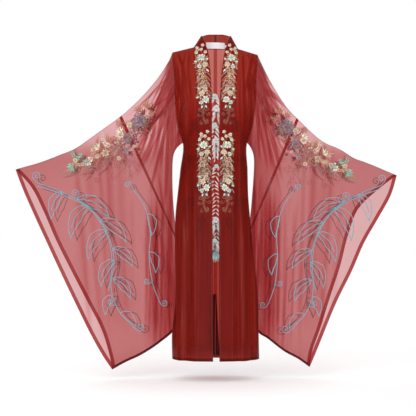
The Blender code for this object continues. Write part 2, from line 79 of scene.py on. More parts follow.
sleeveShape = {
    "station": [0, 0.10, 0.20, 0.40, 0.60, 0.80, 1.00, 1.20, 1.40, 1.55, 1.65, 1.80, 1.90, 2.00],
    "depth": [0.060, 0.060, 0.060, 0.058, 0.056, 0.053, 0.050, 0.047, 0.044, 0.042, 0.041, 0.040, 0.039,
              0.038],
    "right": {
        "topX": [0.180, 0.196, 0.226, 0.271, 0.317, 0.362, 0.399, 0.508, 0.590, 0.653, 0.695, 0.749, 0.799,
                 0.836],
        "topZ": [-0.002, -0.038, -0.086, -0.145, -0.196, -0.239, -0.271, -0.350, -0.407, -0.433, -0.450,
                 -0.469, -0.483, -0.494],
        "underX": [0.1365, 0.151, 0.166, 0.179, 0.1815, 0.1775, 0.164, 0.161, 0.163, 0.174, 0.229, 0.317,
                   0.380, 0.433],
        "underZ": [-0.382, -0.392, -0.409, -0.449, -0.535, -0.645, -0.790, -0.924, -1.054, -1.170, -1.221,
                   -1.277, -1.305, -1.334],
        "topY": [0, 0, 0, 0, 0, -0.002, -0.004, -0.008, -0.012, -0.014, -0.016, -0.018, -0.019, -0.020],
        "underY": [0, 0, 0.003, 0.016, 0.028, 0.044, 0.058, 0.062, 0.064, 0.066, 0.050, 0.026, 0.012, 0.004],
    },
    "left": {
        "topX": [0.178, 0.189, 0.210, 0.238, 0.274, 0.307, 0.347, 0.446, 0.531, 0.590, 0.632, 0.691, 0.733,
                 0.772],
        "topZ": [-0.012, -0.037, -0.082, -0.135, -0.194, -0.239, -0.279, -0.368, -0.408, -0.444, -0.459,
                 -0.482, -0.500, -0.516],
        "underX": [0.132, 0.143, 0.153, 0.162, 0.160, 0.153, 0.145, 0.164, 0.176, 0.178, 0.225, 0.296,
                   0.349, 0.398],
        "underZ": [-0.382, -0.394, -0.412, -0.452, -0.530, -0.630, -0.756, -0.907, -1.054, -1.176, -1.213,
                   -1.266, -1.294, -1.328],
        "topY": [0, 0, 0, 0.004, 0.010, 0.018, 0.026, 0.040, 0.050, 0.056, 0.060, 0.064, 0.067, 0.070],
        "underY": [0, 0, 0.003, 0.016, 0.028, 0.044, 0.056, 0.064, 0.068, 0.070, 0.062, 0.050, 0.044, 0.040],
    },
    "armBlend": 0.45, "cuffBlend": 0.50,
}
cuffBow = {
    "down": [0, 0.10, 0.22, 0.36, 0.50, 0.66, 0.82, 0.93, 1.0],
    "leftfront": [0, 0.009, 0, -0.012, -0.010, -0.014, -0.008, -0.003, 0],
    "leftback": [0, -0.046, -0.086, -0.078, -0.055, -0.039, -0.022, -0.014, 0],
    "rightfront": [0, 0.006, 0.009, 0.011, 0.013, 0.014, 0.014, 0.008, 0],
    "rightback": [0, -0.024, -0.025, -0.019, -0.020, -0.024, -0.028, -0.014, 0],
}
# The largest folds as lines in the front view, in millimetres: x and z at both ends, width and height
folds = {
    "front": [
        (-184, -60, -262, -235, 13, 10), (-176, -85, -225, -250, 12, -9), (-168, -90, -310, -450, 16, 10),
        (-178, -180, -192, -400, 12, -8), (-150, -50, -128, -360, 12, 6), (-112, -150, -112, -620, 14, -5),
        (-200, -740, -205, -1180, 14, 9), (-236, -700, -240, -1190, 16, -10),
        (-272, -680, -280, -1180, 18, 10), (-430, -330, -400, -1100, 34, 10),
        (-560, -430, -500, -1150, 34, -9), (-118, -680, -122, -1310, 17, -10),
        (-92, -560, -86, -1310, 12, 6), (-152, -560, -150, -1310, 14, 8), (184, -50, 205, -240, 13, 9),
        (200, -100, 255, -390, 15, -10), (168, -160, 192, -430, 12, 9), (150, -60, 124, -380, 12, -6),
        (110, -120, 106, -640, 14, 5), (205, -600, 204, -1180, 14, -10), (240, -620, 238, -1190, 16, 10),
        (280, -660, 276, -1190, 18, -9), (400, -320, 380, -1120, 34, 10), (520, -430, 470, -1150, 34, -9),
        (146, -700, 150, -1310, 15, -11), (118, -600, 118, -1310, 14, 8), (92, -660, 90, -1310, 12, -6),
    ],
    "back": [
        (-180, -70, -290, -330, 15, 9), (-172, -110, -235, -400, 14, -8), (-120, -240, -128, -1310, 16, 8),
        (-84, -300, -88, -1310, 15, -7), (-45, -420, -46, -1310, 14, 6), (-215, -700, -222, -1190, 16, 9),
        (-262, -640, -268, -1180, 18, -9), (-470, -380, -430, -1120, 34, -9), (182, -60, 268, -340, 15, 9),
        (170, -120, 216, -410, 14, -8), (116, -260, 132, -1310, 16, 8), (80, -320, 92, -1310, 15, -7),
        (43, -440, 48, -1310, 14, 6), (222, -640, 218, -1190, 16, -9), (262, -640, 258, -1180, 18, 9),
        (450, -390, 410, -1120, 34, -9),
    ],
}
# Folds pressed flat, painted as dark lines of shade with no relief of their own, each with a painted lighter
# line beside it: x and z at both ends, width, and strength
pressed = {
    "front": [
        (-116, -190, -162, -372, 4.5, 0.9), (-150, -90, -140, -330, 3.5, 0.7),
        (-168, -70, -128, -290, 5, 0.6), (-152, -8, -120, -170, 6, 0.8), (-112, -6, -104, -210, 5, 0.5),
        (-132, -6, -138, -120, 4, 0.5), (152, -12, 130, -180, 6, 0.9), (118, -10, 112, -230, 5, 0.6),
        (136, -8, 146, -130, 4, 0.6), (-128, -110, -110, -480, 4, 0.5), (139, -150, 128, -375, 4.5, 0.9),
        (160, -80, 150, -360, 4, 0.8), (120, -120, 112, -420, 3.5, 0.5), (166, -60, 135, -260, 5, 0.6),
        (-130, -680, -128, -1290, 11, 0.8), (-104, -820, -100, -1290, 4, 0.5),
        (-160, -620, -163, -1290, 5, 0.7), (108, -700, 112, -1290, 10, 0.7),
        (160, -560, 166, -1290, 6, 0.8), (135, -520, 140, -1200, 4, 0.5), (86, -560, 88, -1290, 4, 0.5),
        (-86, -500, -86, -1290, 4, 0.5), (-183, -60, -296, -480, 6, 1.0),
        (-178, -130, -216, -640, 5.5, 1.0), (-180, -90, -250, -380, 4.5, 0.8),
        (-186, -100, -330, -400, 5, 0.6), (-176, -170, -190, -400, 5, 0.9), (180, -50, 276, -540, 6, 1.0),
        (176, -120, 214, -500, 5.5, 1.0), (182, -80, 245, -300, 4.5, 0.8), (190, -110, 318, -380, 5, 0.6),
        (172, -160, 186, -400, 5, 0.9),
    ],
    "back": [
        (-140, -90, -150, -370, 5, 0.7), (140, -90, 150, -370, 5, 0.7), (-100, -500, -104, -1290, 7, 0.6),
        (100, -500, 104, -1290, 7, 0.6), (-60, -620, -62, -1290, 5, 0.5), (60, -620, 62, -1290, 5, 0.5),
        (-185, -80, -320, -420, 6, 0.7), (185, -80, 320, -420, 6, 0.7), (-182, -130, -240, -500, 5.5, 0.8),
        (182, -130, 240, -500, 5.5, 0.8),
    ],
}
foldEase = {"root": 0.030, "end": 0.18}
# Fine creases of each face and side: how many, and the least and most of what is drawn for each
crease = {
    "seed": 11, "bodyCount": 24, "armCount": 20, "hangCount": 18, "lowest": -1.32,
    "bodyX": (0.02, 0.172), "bodyTop": (-0.03, -0.85), "bodyLong": (0.15, 0.60),
    "bodyDrift": (-0.008, 0.012), "bodyWide": (0.003, 0.007), "bodyHigh": (0.0010, 0.0028),
    "armX": (0.172, 0.186), "armTop": (-0.03, -0.22), "armLean": (0.25, 1.25), "armLong": (0.12, 0.36),
    "armWide": (0.004, 0.009), "armHigh": (0.0016, 0.0042), "armPull": 0.75, "armSag": 0.06,
    "hangX": 0.19, "hangReach": 0.34, "hangTop": -0.42, "hangSlope": 0.42, "hangDrop": (0.0, 0.45),
    "hangLong": (0.18, 0.50), "hangDrift": (0.0, 0.05), "hangWide": (0.005, 0.012),
    "hangHigh": (0.0010, 0.0032), "hangFade": 1.6,
}


def fineCreases(face):
    rng = random.Random(crease["seed"] + faces[face])

    def draw(*names):
        values = [rng.uniform(*crease[name]) for name in names]
        return values if len(names) > 1 else values[0]

    found = []
    for side, sign in sides.items():
        for _ in range(crease["bodyCount"]):
            x, top, long, drift = draw("bodyX", "bodyTop", "bodyLong", "bodyDrift")
            low = max(top - long, crease["lowest"])
            found.append((sign * x, top, sign * (x + drift), low, draw("bodyWide"),
                          rng.choice((-1, 1)) * draw("bodyHigh")))
        for _ in range(crease["armCount"]):
            x, top, lean, long = draw("armX", "armTop", "armLean", "armLong")
            found.append((sign * x, top, sign * (x + long * math.cos(lean) * crease["armPull"]),
                          top - long * math.sin(lean) - crease["armSag"], draw("armWide"),
                          rng.choice((-1, 1)) * draw("armHigh")))
        for _ in range(crease["hangCount"]):
            x = crease["hangX"] + crease["hangReach"] * rng.random() ** 2.0
            drop, long = draw("hangDrop", "hangLong")
            top = crease["hangTop"] - x * crease["hangSlope"] - drop
            faint = 1.0 - crease["hangFade"] * (x - crease["hangX"])
            found.append((sign * x, top, sign * (x - draw("hangDrift")), top - long, draw("hangWide"),
                          rng.choice((-1, 1)) * draw("hangHigh") * faint))
    return found


def smooth(at, xs, ys):
    xs, ys, at = np.asarray(xs, float), np.asarray(ys, float), np.asarray(at, float)
    steps = np.diff(xs)
    rises = np.diff(ys) / steps
    slopes = np.concatenate([rises[:1], (rises[1:] + rises[:-1]) / 2, rises[-1:]])
    i = np.clip(np.searchsorted(xs, at) - 1, 0, len(steps) - 1)
    u = (at - xs[i]) / steps[i]
    lean = steps[i] * (u * (1 - u) ** 2 * slopes[i] - u * u * (1 - u) * slopes[i + 1])
    return ys[i] + (ys[i + 1] - ys[i]) * u * u * (3 - 2 * u) + lean


def ease(u):
    u = np.clip(u, 0, 1)
    return u * u * (3 - 2 * u)


def rounded(u):
    return np.sqrt(1 - (1 - np.clip(u, 0, 1)) ** 2)


def bell(gap, width):
    return np.exp(-((gap / width) ** 2))


allFolds = {face: [mm(row) for row in folds[face]] + fineCreases(face) for face in faces}
flatFolds = {face: [mm(row[:5]) + [row[5]] for row in pressed[face]] for face in faces}


def beside(line, x, z):
    # how far along a line of the front view a point lies, and how far to its side
    x0, z0, x1, z1 = line[:4]
    runX, runZ = x1 - x0, z1 - z0
    square = runX * runX + runZ * runZ
    along = ((x - x0) * runX + (z - z0) * runZ) / square
    return along, ((x - x0) * runZ - (z - z0) * runX) / math.sqrt(square)


def foldFade(along):
    end = foldEase["end"]
    return ease((along + end) / end / 2) * ease((1 + end - along) / end / 2)


def relief(face, x, z):
    total = np.zeros(np.broadcast(x, z).shape)
    for line in allFolds[face]:
        along, gap = beside(line, x, z)
        total += line[5] * foldFade(along) * bell(gap, line[4])
    return total


# How dark the cloth is drawn along folds: painted shade along both sides of large folds, deeper on one side,
# and down fine creases and pressed folds, partly real cloth drawn together into more layers
foldShading = {"wideFold": 0.0105, "fullFold": 0.010, "fullCrease": 0.0036, "side": 0.72, "sway": 0.004}


def foldShadeAt(face, x, z):
    total = np.zeros(np.broadcast(x, z).shape)
    for line in allFolds[face]:
        along, gap = beside(line, x, z)
        width, height = line[4:]
        if width > foldShading["wideFold"]:
            # painted shade beside a large fold, deeper on one side than the other
            off = foldShading["side"] * width
            shade = bell(gap - off, 0.30 * width) + 0.45 * bell(gap + off, 0.42 * width)
            total += min(1.0, abs(height) / foldShading["fullFold"]) * foldFade(along) * shade * 0.75
        else:
            share = min(1.0, abs(height) / foldShading["fullCrease"])
            total += share * foldFade(along) * bell(gap, 0.62 * width) * 0.60
    # painted shade down each pressed fold, with a painted lighter line beside it
    for line in flatFolds[face]:
        along, gap = beside(line, x, z)
        width, strength = line[4:]
        gap = gap + foldShading["sway"] * np.sin(along * 5 + line[0] * 90)
        fade = ease((along + 0.08) / 0.25) * ease((1.05 - along) / 0.35)
        total += strength * fade * (bell(gap, width) - 0.35 * bell(gap - 2.1 * width, width))
    return total


def turnAt(x, width):
    return np.arcsin(np.clip(x / width, 0, 1) ** (body["power"] / 2))


def spread(u):
    return 0.5 * u + 0.25 * (1 - np.cos(math.pi * u))


armRows, skirtRows, yokeColumns, panelColumns = 14, 13, 4, 6


def rowHeight(top, row):
    upper = top + (body["armpit"] - top) * spread(np.clip(row / armRows, 0, 1))
    lower = body["armpit"] + (body["hem"] - body["armpit"]) * (row - armRows) / skirtRows
    return np.where(row <= armRows, upper, lower)


def turnOf(side, column, z):
    width = smooth(z, body["z"], body[side])
    seam = turnAt(smooth(z, bandShape["z"], bandShape["seam" + side]), width)
    hole = turnAt(smooth(z, armhole["z"], armhole[side]), width)
    edge = np.where(z > body["armpit"], hole, math.pi / 2)
    yoke = seam * (1 + column / yokeColumns)
    return np.where(column <= 0, yoke, seam + (edge - seam) * column / panelColumns), width


def acrossAt(side, column, z):
    turn, width = turnOf(side, column, z)
    return width * np.sin(turn) ** (2 / body["power"])


def topOf(side, face, column):
    neckZ, armZ = shoulder[side]
    neck, arm = acrossAt(side, np.array(0.0), 0.0), acrossAt(side, np.array(float(panelColumns)), 0.0)
    x = acrossAt(side, column, 0.0)
    onShoulder = neckZ + (armZ - neckZ) * (x - neck) / (arm - neck)
    onNeck = body["neckBack"] + (neckZ - body["neckBack"]) * ease(x / neck)
    share = np.clip(x / neck, 0, 1)
    depth = body["neckDepth"] * (1 - share ** body["power"]) ** (1 / body["power"])
    depth = np.where((column >= 0) | (face == "front"), 0.0, depth)
    return np.where(column > 0, onShoulder, onNeck), depth


def panelPoints(side, face, column, row):
    column, row = np.broadcast_arrays(np.asarray(column, float), np.asarray(row, float))
    top, start = topOf(side, face, column)
    z = rowHeight(top, row)
    turn, width = turnOf(side, column, z)
    x = sides[side] * width * np.sin(turn) ** (2 / body["power"])
    full = smooth(z, body["z"], body[face]) * np.maximum(np.cos(turn), 0) ** (2 / body["power"])
    depth = start + (full - start) * rounded((top - z) / body["shoulderRound"])
    depth = depth + relief(face, x, z) * np.minimum(1, depth / foldEase["root"])
    if face == "back":
        opened = np.maximum(0, body["ventTop"] - z) / (body["ventTop"] - body["hem"])
        x = np.where(column <= -yokeColumns, sides[side] * body["ventSpread"] * opened, x)
    return np.stack([x, faces[face] * depth, z], axis=-1)


def bandPoints(side, across, row):
    # rows below 0 go round the back neck; across runs from the seam to the free edge
    across, row = np.broadcast_arrays(np.asarray(across, float), np.asarray(row, float))
    top, turn, edges = body["collarTop"], body["collarTurn"], bandShape["edge" + side]
    lean = float(smooth(top, bandShape["z"], edges) / acrossAt(side, np.array(0.0), 0.0))
    neckSeam = panelPoints(side, "back", np.minimum(row, 0), 0 * row)
    neckEdge = np.stack([neckSeam[..., 0] * lean, neckSeam[..., 1] * body["collarLean"],
                         np.full(row.shape, top)], axis=-1)
    seam = panelPoints(side, "front", 0 * row, np.maximum(row, 0))
    drop = shoulder[side][0] - seam[..., 2]
    z = seam[..., 2] + (top - shoulder[side][0]) * (1 - ease(drop / turn))
    x = smooth(z, bandShape["z"], edges)
    full = smooth(z, body["z"], body["front"])
    full = full * np.cos(turnAt(x, smooth(z, body["z"], body[side]))) ** (2 / body["power"])
    depth = full * rounded((top - z) / turn)
    depth = depth + relief("front", sides[side] * x, z) * np.minimum(1, depth / foldEase["root"])
    edge = np.stack([sides[side] * x, -depth, z], axis=-1)
    corner = 0.0065 * np.exp(-((row / 1.5) ** 2)) + 0.0035 * np.exp(-((row / 0.6) ** 2))
    edge[..., 2] -= corner
    neckEdge[..., 2] += 0.0035 * ease(-row / 3) - corner
    behind = (row < 0)[..., None]
    start, end = np.where(behind, neckSeam, seam), np.where(behind, neckEdge, edge)
    return start + (end - start) * across[..., None]


def sleevePoints(side, station, around):
    # around runs 0 to 28: down the front layer to 14 and up the back layer
    station, around = np.broadcast_arrays(np.asarray(station, float), np.asarray(around, float))
    sign, shape = sides[side], sleeveShape[side]
    at = {name: smooth(station, sleeveShape["station"], values) for name, values in shape.items()}
    depthAt = smooth(station, sleeveShape["station"], sleeveShape["depth"])
    onFront = around <= armRows
    row = np.where(onFront, around, 2 * armRows - around)
    down = spread(row / armRows)[..., None]
    arm = np.full(row.shape, float(panelColumns))
    loop = np.where(onFront[..., None], *(panelPoints(side, face, arm, row) for face in faces))
    top = np.stack([sign * at["topX"], at["topY"], at["topZ"]], axis=-1)
    under = np.stack([sign * at["underX"], at["underY"], at["underZ"]], axis=-1)
    firstTop = np.array([sign * shape["topX"][0], 0, shape["topZ"][0]])
    firstUnder = np.array([sign * shape["underX"][0], 0, shape["underZ"][0]])
    rib = under - top
    rib = rib / np.linalg.norm(rib, axis=-1, keepdims=True)
    outward = np.stack([rib[..., 2], 0 * rib[..., 0], -rib[..., 0]], axis=-1) * -sign
    free = ease(station / sleeveShape["armBlend"])
    atCuff = ease((station - 2 + sleeveShape["cuffBlend"]) / sleeveShape["cuffBlend"])
    fromLoop = loop - firstTop - (firstUnder - firstTop) * down
    point = top + (under - top) * down + fromLoop * (1 - free[..., None])
    depth = depthAt * 2 * np.sqrt(np.clip(down * (1 - down), 0, 1))[..., 0] * free
    moved = np.where(onFront, *(relief(face, point[..., 0], point[..., 2]) for face in faces))
    depth = depth + moved * np.minimum(1, depth / foldEase["root"]) * free
    bow = np.where(onFront, *(smooth(down[..., 0], cuffBow["down"], cuffBow[side + face]) for face in faces))
    point = point + outward * (bow * atCuff)[..., None]
    point[..., 1] += np.where(onFront, -1, 1) * depth
    return point


def gridNormals(grid, closed, middle=None):
    step = (np.roll(grid, -1, 1) - np.roll(grid, 1, 1)) if closed else np.gradient(grid, axis=1)
    normals = np.cross(np.gradient(grid, axis=0), step)
    normals /= np.maximum(np.linalg.norm(normals, axis=2, keepdims=True), 1e-12)
    if middle is None:
        middle = grid.mean(axis=1, keepdims=True)
        if not closed:
            middle[:, :, :2] = 0
    return normals if ((grid - middle) * normals).sum() > 0 else -normals


def clothMesh(name, grid, normals, material, closed=False, densityAndShade=None):
    # a sheet from a grid of points, its UV map in metres along the cloth
    rows, columns = grid.shape[:2]
    right = np.linalg.norm(np.diff(grid, axis=1), axis=2).mean(axis=0)
    down = np.linalg.norm(np.diff(grid, axis=0), axis=2).mean(axis=1)
    us, vs = np.concatenate([[0], np.cumsum(right)]), np.concatenate([[0], np.cumsum(down)])
    index = np.arange(rows * columns).reshape(rows, columns)
    if closed:
        us = np.append(us, us[-1] + right.mean())
        index = np.concatenate([index, index[:, :1]], axis=1)

    def quadsOf(corner):
        return np.stack([corner[:-1, :-1], corner[:-1, 1:], corner[1:, 1:], corner[1:, :-1]], axis=2)

    quads = quadsOf(index).reshape(-1, 4)
    uvs = quadsOf(np.stack(np.meshgrid(us, vs), axis=-1)).reshape(-1, 2)
    i = rows // 2
    if np.cross(grid[i, 1] - grid[i, 0], grid[i + 1, 0] - grid[i, 0]) @ normals[i, 0] < 0:
        quads = quads[:, ::-1]
        uvs = uvs.reshape(-1, 4, 2)[:, ::-1].reshape(-1, 2)
    if densityAndShade is None:
        densityAndShade = np.zeros(rows * columns)
    mesh = bpy.data.meshes.new(name)
    mesh.from_pydata(grid.reshape(-1, 3).tolist(), [], quads.tolist())
    layer = mesh.uv_layers.new(name="cloth")
    layer.data.foreach_set("uv", uvs.astype(np.float32).ravel())
    drawn = mesh.attributes.new("densityAndShade", "FLOAT", "POINT")
    drawn.data.foreach_set("value", densityAndShade.astype(np.float32).ravel())
    return placed(name, mesh, material)


def placed(name, mesh, material=None):
    mesh.shade_smooth()
    if material:
        mesh.materials.append(material)
    thing = bpy.data.objects.new(name, mesh)
    bpy.context.scene.collection.objects.link(thing)
    return thing


# Materials
def nodeTree(name):
    material = bpy.data.materials.new(name)
    material.use_nodes = True
    tree = material.node_tree
    return material, tree, tree.nodes["Principled BSDF"], tree.nodes["Material Output"]


def fill(tree, node, inputs):
    # values and links into a node's sockets
    for name, value in inputs.items():
        if isinstance(value, bpy.types.NodeSocket):
            tree.links.new(value, node.inputs[name])
        else:
            node.inputs[name].default_value = value


def addNode(tree, kind, inputs, **settings):
    node = tree.nodes.new(kind)
    for name, value in settings.items():
        setattr(node, name, value)
    fill(tree, node, inputs)
    return node


def calc(tree, kind, a, b, clamp=False):
    return addNode(tree, "ShaderNodeMath", {0: a, 1: b}, operation=kind, use_clamp=clamp).outputs[0]


def uvScaled(tree, sx, sy):
    where = addNode(tree, "ShaderNodeUVMap", {}, uv_map="cloth")
    return addNode(tree, "ShaderNodeMapping", {"Vector": where.outputs[0], "Scale": (sx, sy, 1)}).outputs[0]


def noise(tree, vector, detail=2):
    inputs = {"Scale": 1.0, "Detail": detail, "Roughness": 0.5, "Vector": vector}
    return addNode(tree, "ShaderNodeTexNoise", inputs).outputs["Fac"]


def bumped(tree, shader, height, strength, distance):
    bump = addNode(tree, "ShaderNodeBump", {"Strength": strength, "Distance": distance, "Height": height})
    tree.links.new(bump.outputs[0], shader.inputs["Normal"])


def mixed(tree, a, b, factor):
    inputs = {"A": (*a, 1), "B": (*b, 1), "Factor": factor}
    return addNode(tree, "ShaderNodeMix", inputs, data_type="RGBA").outputs["Result"]


organza = {
    "passed": (0.860, 0.450, 0.455),  # what the thread gaps and the dyed silk let through, at full gap
    "threads": 1400,  # threads a metre
    "slub": 420,  # thick and thin stretches a metre, across the thread
    "roughness": 0.42,
    "foldShadeLayers": 2.1,  # how much deeper the colour is where the cloth is drawn together and where fold shade is painted
    "edge": 0.45,  # how much the cloth closes where it turns away
}


def makeOrganza(name, cover, layers, silk, gloss=0.05, passed=organza["passed"], thin=0.72):
    material, tree, shader, output = nodeTree(name)
    # the cloth's attribute holds painted fold shade together with real layers drawn together at hems and
    # folds; it deepens the colour let through and closes the cloth
    drawn = addNode(tree, "ShaderNodeAttribute", {}, attribute_name="densityAndShade").outputs["Fac"]
    densityAndShade = calc(tree, "MULTIPLY", drawn, 1.0, clamp=True)
    many, slubs = organza["threads"], organza["slub"]
    slub = calc(tree, "ADD", noise(tree, uvScaled(tree, slubs, 7), 3),
                noise(tree, uvScaled(tree, 7, slubs), 3))
    weave = calc(tree, "ADD", noise(tree, uvScaled(tree, many, 3), 1),
                 noise(tree, uvScaled(tree, 3, many), 1))
    cloud = noise(tree, uvScaled(tree, 14, 3.5), 3)
    grain = 1.0
    for field, middle, share in ((slub, 1.0, 0.30), (weave, 1.0, 0.08), (cloud, 0.5, 0.30)):
        part = calc(tree, "MULTIPLY", calc(tree, "SUBTRACT", field, middle), share)
        grain = calc(tree, "ADD", part, grain)
    facing = addNode(tree, "ShaderNodeLayerWeight", {"Blend": 0.5}).outputs["Facing"]
    edge = calc(tree, "MULTIPLY", calc(tree, "POWER", facing, 3.0), organza["edge"])
    closed = calc(tree, "MULTIPLY", calc(tree, "ADD", drawn, 0.75), cover)
    amount = calc(tree, "ADD", calc(tree, "MULTIPLY", grain, closed), edge, clamp=True)
    deep = mixed(tree, [c ** (layers * thin) for c in passed],
                 [c ** (layers * organza["foldShadeLayers"]) for c in passed], densityAndShade)
    through = addNode(tree, "ShaderNodeBsdfTransparent", {"Color": deep})
    mix = addNode(tree, "ShaderNodeMixShader", {0: amount, 1: through.outputs[0], 2: shader.outputs[0]})
    tree.links.new(mix.outputs[0], output.inputs["Surface"])
    dyed = mixed(tree, [c * 0.75 for c in silk], [min(1, c * 1.30) for c in silk], cloud)
    fill(tree, shader, {"Base Color": dyed, "Roughness": organza["roughness"], "Sheen Weight": gloss * 0.4,
                        "Sheen Roughness": 0.35, "Sheen Tint": (1.0, 0.45, 0.42, 1),
                        "Specular IOR Level": gloss})
    bumped(tree, shader, slub, 0.12, 0.0004)
    return material


warm = (0.835, 0.430, 0.370)
sleeveCloth = makeOrganza("sleeveOrganza", 0.21, 1.0, (0.130, 0.014, 0.016), 0.30, thin=0.48)
frontCloth = makeOrganza("frontOrganza", 0.385, 2.55, (0.125, 0.0070, 0.0042), passed=warm)
backCloth = makeOrganza("backOrganza", 0.24, 1.5, (0.140, 0.013, 0.008), passed=warm)
bandCloth = makeOrganza("bandOrganza", 0.46, 3.0, (0.110, 0.0052, 0.0033), passed=warm)
seamCloth = makeOrganza("seamOrganza", 0.46, 1.5, (0.250, 0.006, 0.009))
hemCloth = makeOrganza("hemOrganza", 0.55, 2.2, (0.085, 0.003, 0.004))
cuffCloth = makeOrganza("cuffOrganza", 0.40, 1.9, (0.230, 0.009, 0.012))
fineSeamCloth = makeOrganza("fineSeamOrganza", 0.26, 0.9, (0.130, 0.005, 0.006))
facingCloth = makeOrganza("facingOrganza", 0.70, 5.0, (0.022, 0.001, 0.001))
print("cloth materials made")

made = {}  # each shell by name, with its grid and normals
stitchLines = []  # where the hems and seams are sewn down
# fine steps for each coarse one in the solids
fine = {"column": 14, "row": 4, "upper": 10, "lower": 12, "upperRing": 9, "lowerRing": 7}
hem = {"body": 0.016, "cuff": 0.015, "seam": 0.006, "fine": 0.0045, "centreBack": 0.007, "fold": 0.004,
       "lift": 0.0006, "thread": 0.0004}


def addShell(name, node, grid, material, closed=False, densityAndShade=None):
    normals = gridNormals(grid, closed)
    thing = clothMesh(name, grid, normals, material, closed, densityAndShade)
    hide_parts(node)
    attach(thing, "root")
    made[name] = {"thing": thing, "grid": grid, "normals": normals, "closed": closed}
    return thing


def strip(name, label, edge, width, material, dense=0.0, steps=3):
    # a folded hem or seam allowance: the stretch of a shell within width of one of its edges, lifted inwards
    base = made[name]
    grid, normals = base["grid"], base["normals"]
    if edge in ("left", "right"):
        grid, normals = grid.transpose(1, 0, 2), normals.transpose(1, 0, 2)
    if edge in ("bottom", "right"):
        grid, normals = grid[::-1], normals[::-1]
    run = np.concatenate([np.zeros((1, grid.shape[1])),
                          np.cumsum(np.linalg.norm(np.diff(grid, axis=0), axis=2), axis=0)])
    out, outNormals = np.zeros((2, steps + 1, grid.shape[1], 3))
    for k in range(steps + 1):
        want = width * k / steps
        for j in range(grid.shape[1]):
            i = min(int(np.searchsorted(run[:, j], want, side="right")) - 1, grid.shape[0] - 2)
            u = (want - run[i, j]) / max(run[i + 1, j] - run[i, j], 1e-9)
            out[k, j] = grid[i, j] * (1 - u) + grid[i + 1, j] * u
            outNormals[k, j] = normals[i, j] * (1 - u) + normals[i + 1, j] * u
    closed = base["closed"] and edge in ("top", "bottom")
    raised = out - outNormals * hem["lift"]
    thing = clothMesh(name + "_" + label, raised, outNormals, material, closed,
                      np.full(out.shape[:2], dense))
    sewn = out[-1] + outNormals[-1] * hem["thread"]
    stitchLines.append(np.concatenate([sewn, sewn[:1]]) if closed else sewn)
    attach(thing, "root")
    return thing


def underSeam(name):
    # the seam that closes the sleeve's tube, along its lowest ring of points
    grid, normals = made[name]["grid"], made[name]["normals"]
    lowest = grid.shape[1] // 2
    near = slice(lowest - 2, lowest + 3)
    points = grid[:, near] - normals[:, near] * hem["lift"]
    thing = clothMesh(name + "_underSeam", points, normals[:, near], hemCloth, False,
                      np.ones(points.shape[:2]))
    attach(thing, "root")
    return thing


def declare(thing, extras):
    grid = made[thing.name]["grid"]
    if made[thing.name]["closed"]:
        grid = np.concatenate([grid, grid[:, :1]], axis=1)
    a, b, c, d = grid[:-1, :-1], grid[:-1, 1:], grid[1:, 1:], grid[1:, :-1]
    area = sum(np.linalg.norm(np.cross(p, q), axis=2).sum() for p, q in ((b - a, c - a), (c - a, d - a))) / 2
    wide = float(np.linalg.norm(np.diff(grid, axis=1), axis=2).sum(axis=1).max())
    long = float(np.linalg.norm(np.diff(grid, axis=0), axis=2).sum(axis=0).max())
    wide, long = round(wide * 1.01, 3), round(long * 1.01, 3)
    area = max(0.301 * wide * long, min(float(area) * 1.01, 0.999 * wide * long))
    print(thing.name, "cut", wide, "x", long, "m")


# The vent's facings: the left one lies across the slit, wider towards the hem, and the right one beside it
ventEdges = {
    "left": (-0.0088, 0.0035, -0.0088, 0.0195, facingCloth, 0.0030),
    "right": (-0.0305, -0.0080, -0.0310, -0.0080, hemCloth, 0.0016),
    "bottom": -1.298,
}


def ventFacing(side):
    top0, top1, low0, low1, cloth, inside = ventEdges[side]
    us, vs = np.linspace(0, 1, 9)[None, :], np.linspace(0, 1, 61)[:, None]
    x = top0 + (top1 - top0) * us + ((low0 + (low1 - low0) * us) - (top0 + (top1 - top0) * us)) * vs
    z = body["ventTop"] + (ventEdges["bottom"] - body["ventTop"]) * vs + 0 * us
    depth = smooth(z, body["z"], body["back"])
    depth = depth * np.cos(turnAt(np.abs(x), smooth(z, body["z"], body["left"]))) ** (2 / body["power"])
    depth = depth + relief("back", x, z) - inside - 0.001 * np.sin(us * 6 + vs * 4)
    grid = np.stack([x, depth, z], axis=-1)
    thing = clothMesh("ventFacing_" + side, grid, gridNormals(grid, False), cloth, False,
                      np.full(z.shape, 0.3))
    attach(thing, "root")
    return thing


# How closed each cloth looks: at the shoulder, the reach of the change below it, and its size
shading = {
    "front": (0.16, 0.75, 0.34), "back": (0.66, 0.24, 0.60), "band": (0.20, 0.75, 0.20), "shoulderZ": -0.15,
    "hemZ": -1.225, "hemDark": 0.7, "foldZ": -1.268, "foldLight": 1.3,
    "bodyFolds": 1.25, "bandFolds": 0.6, "upperFolds": 1.3, "lowerFolds": 0.45, "lowerNear": 0.65,
    "sleeve": 0.34, "sleeveNear": 0.30, "sleeveHang": 0.86, "sleeveRange": (-0.55, 1.4),
}


def darkHem(z):
    hemDark = shading["hemDark"] * ease((shading["hemZ"] - z) / 0.03)
    return hemDark - shading["foldLight"] * ease((shading["foldZ"] - z) / 0.004)


def shadeDown(name, z):
    start, reach, deep = shading[name]
    return start + deep * ease(-(z - shading["shoulderZ"]) / reach)


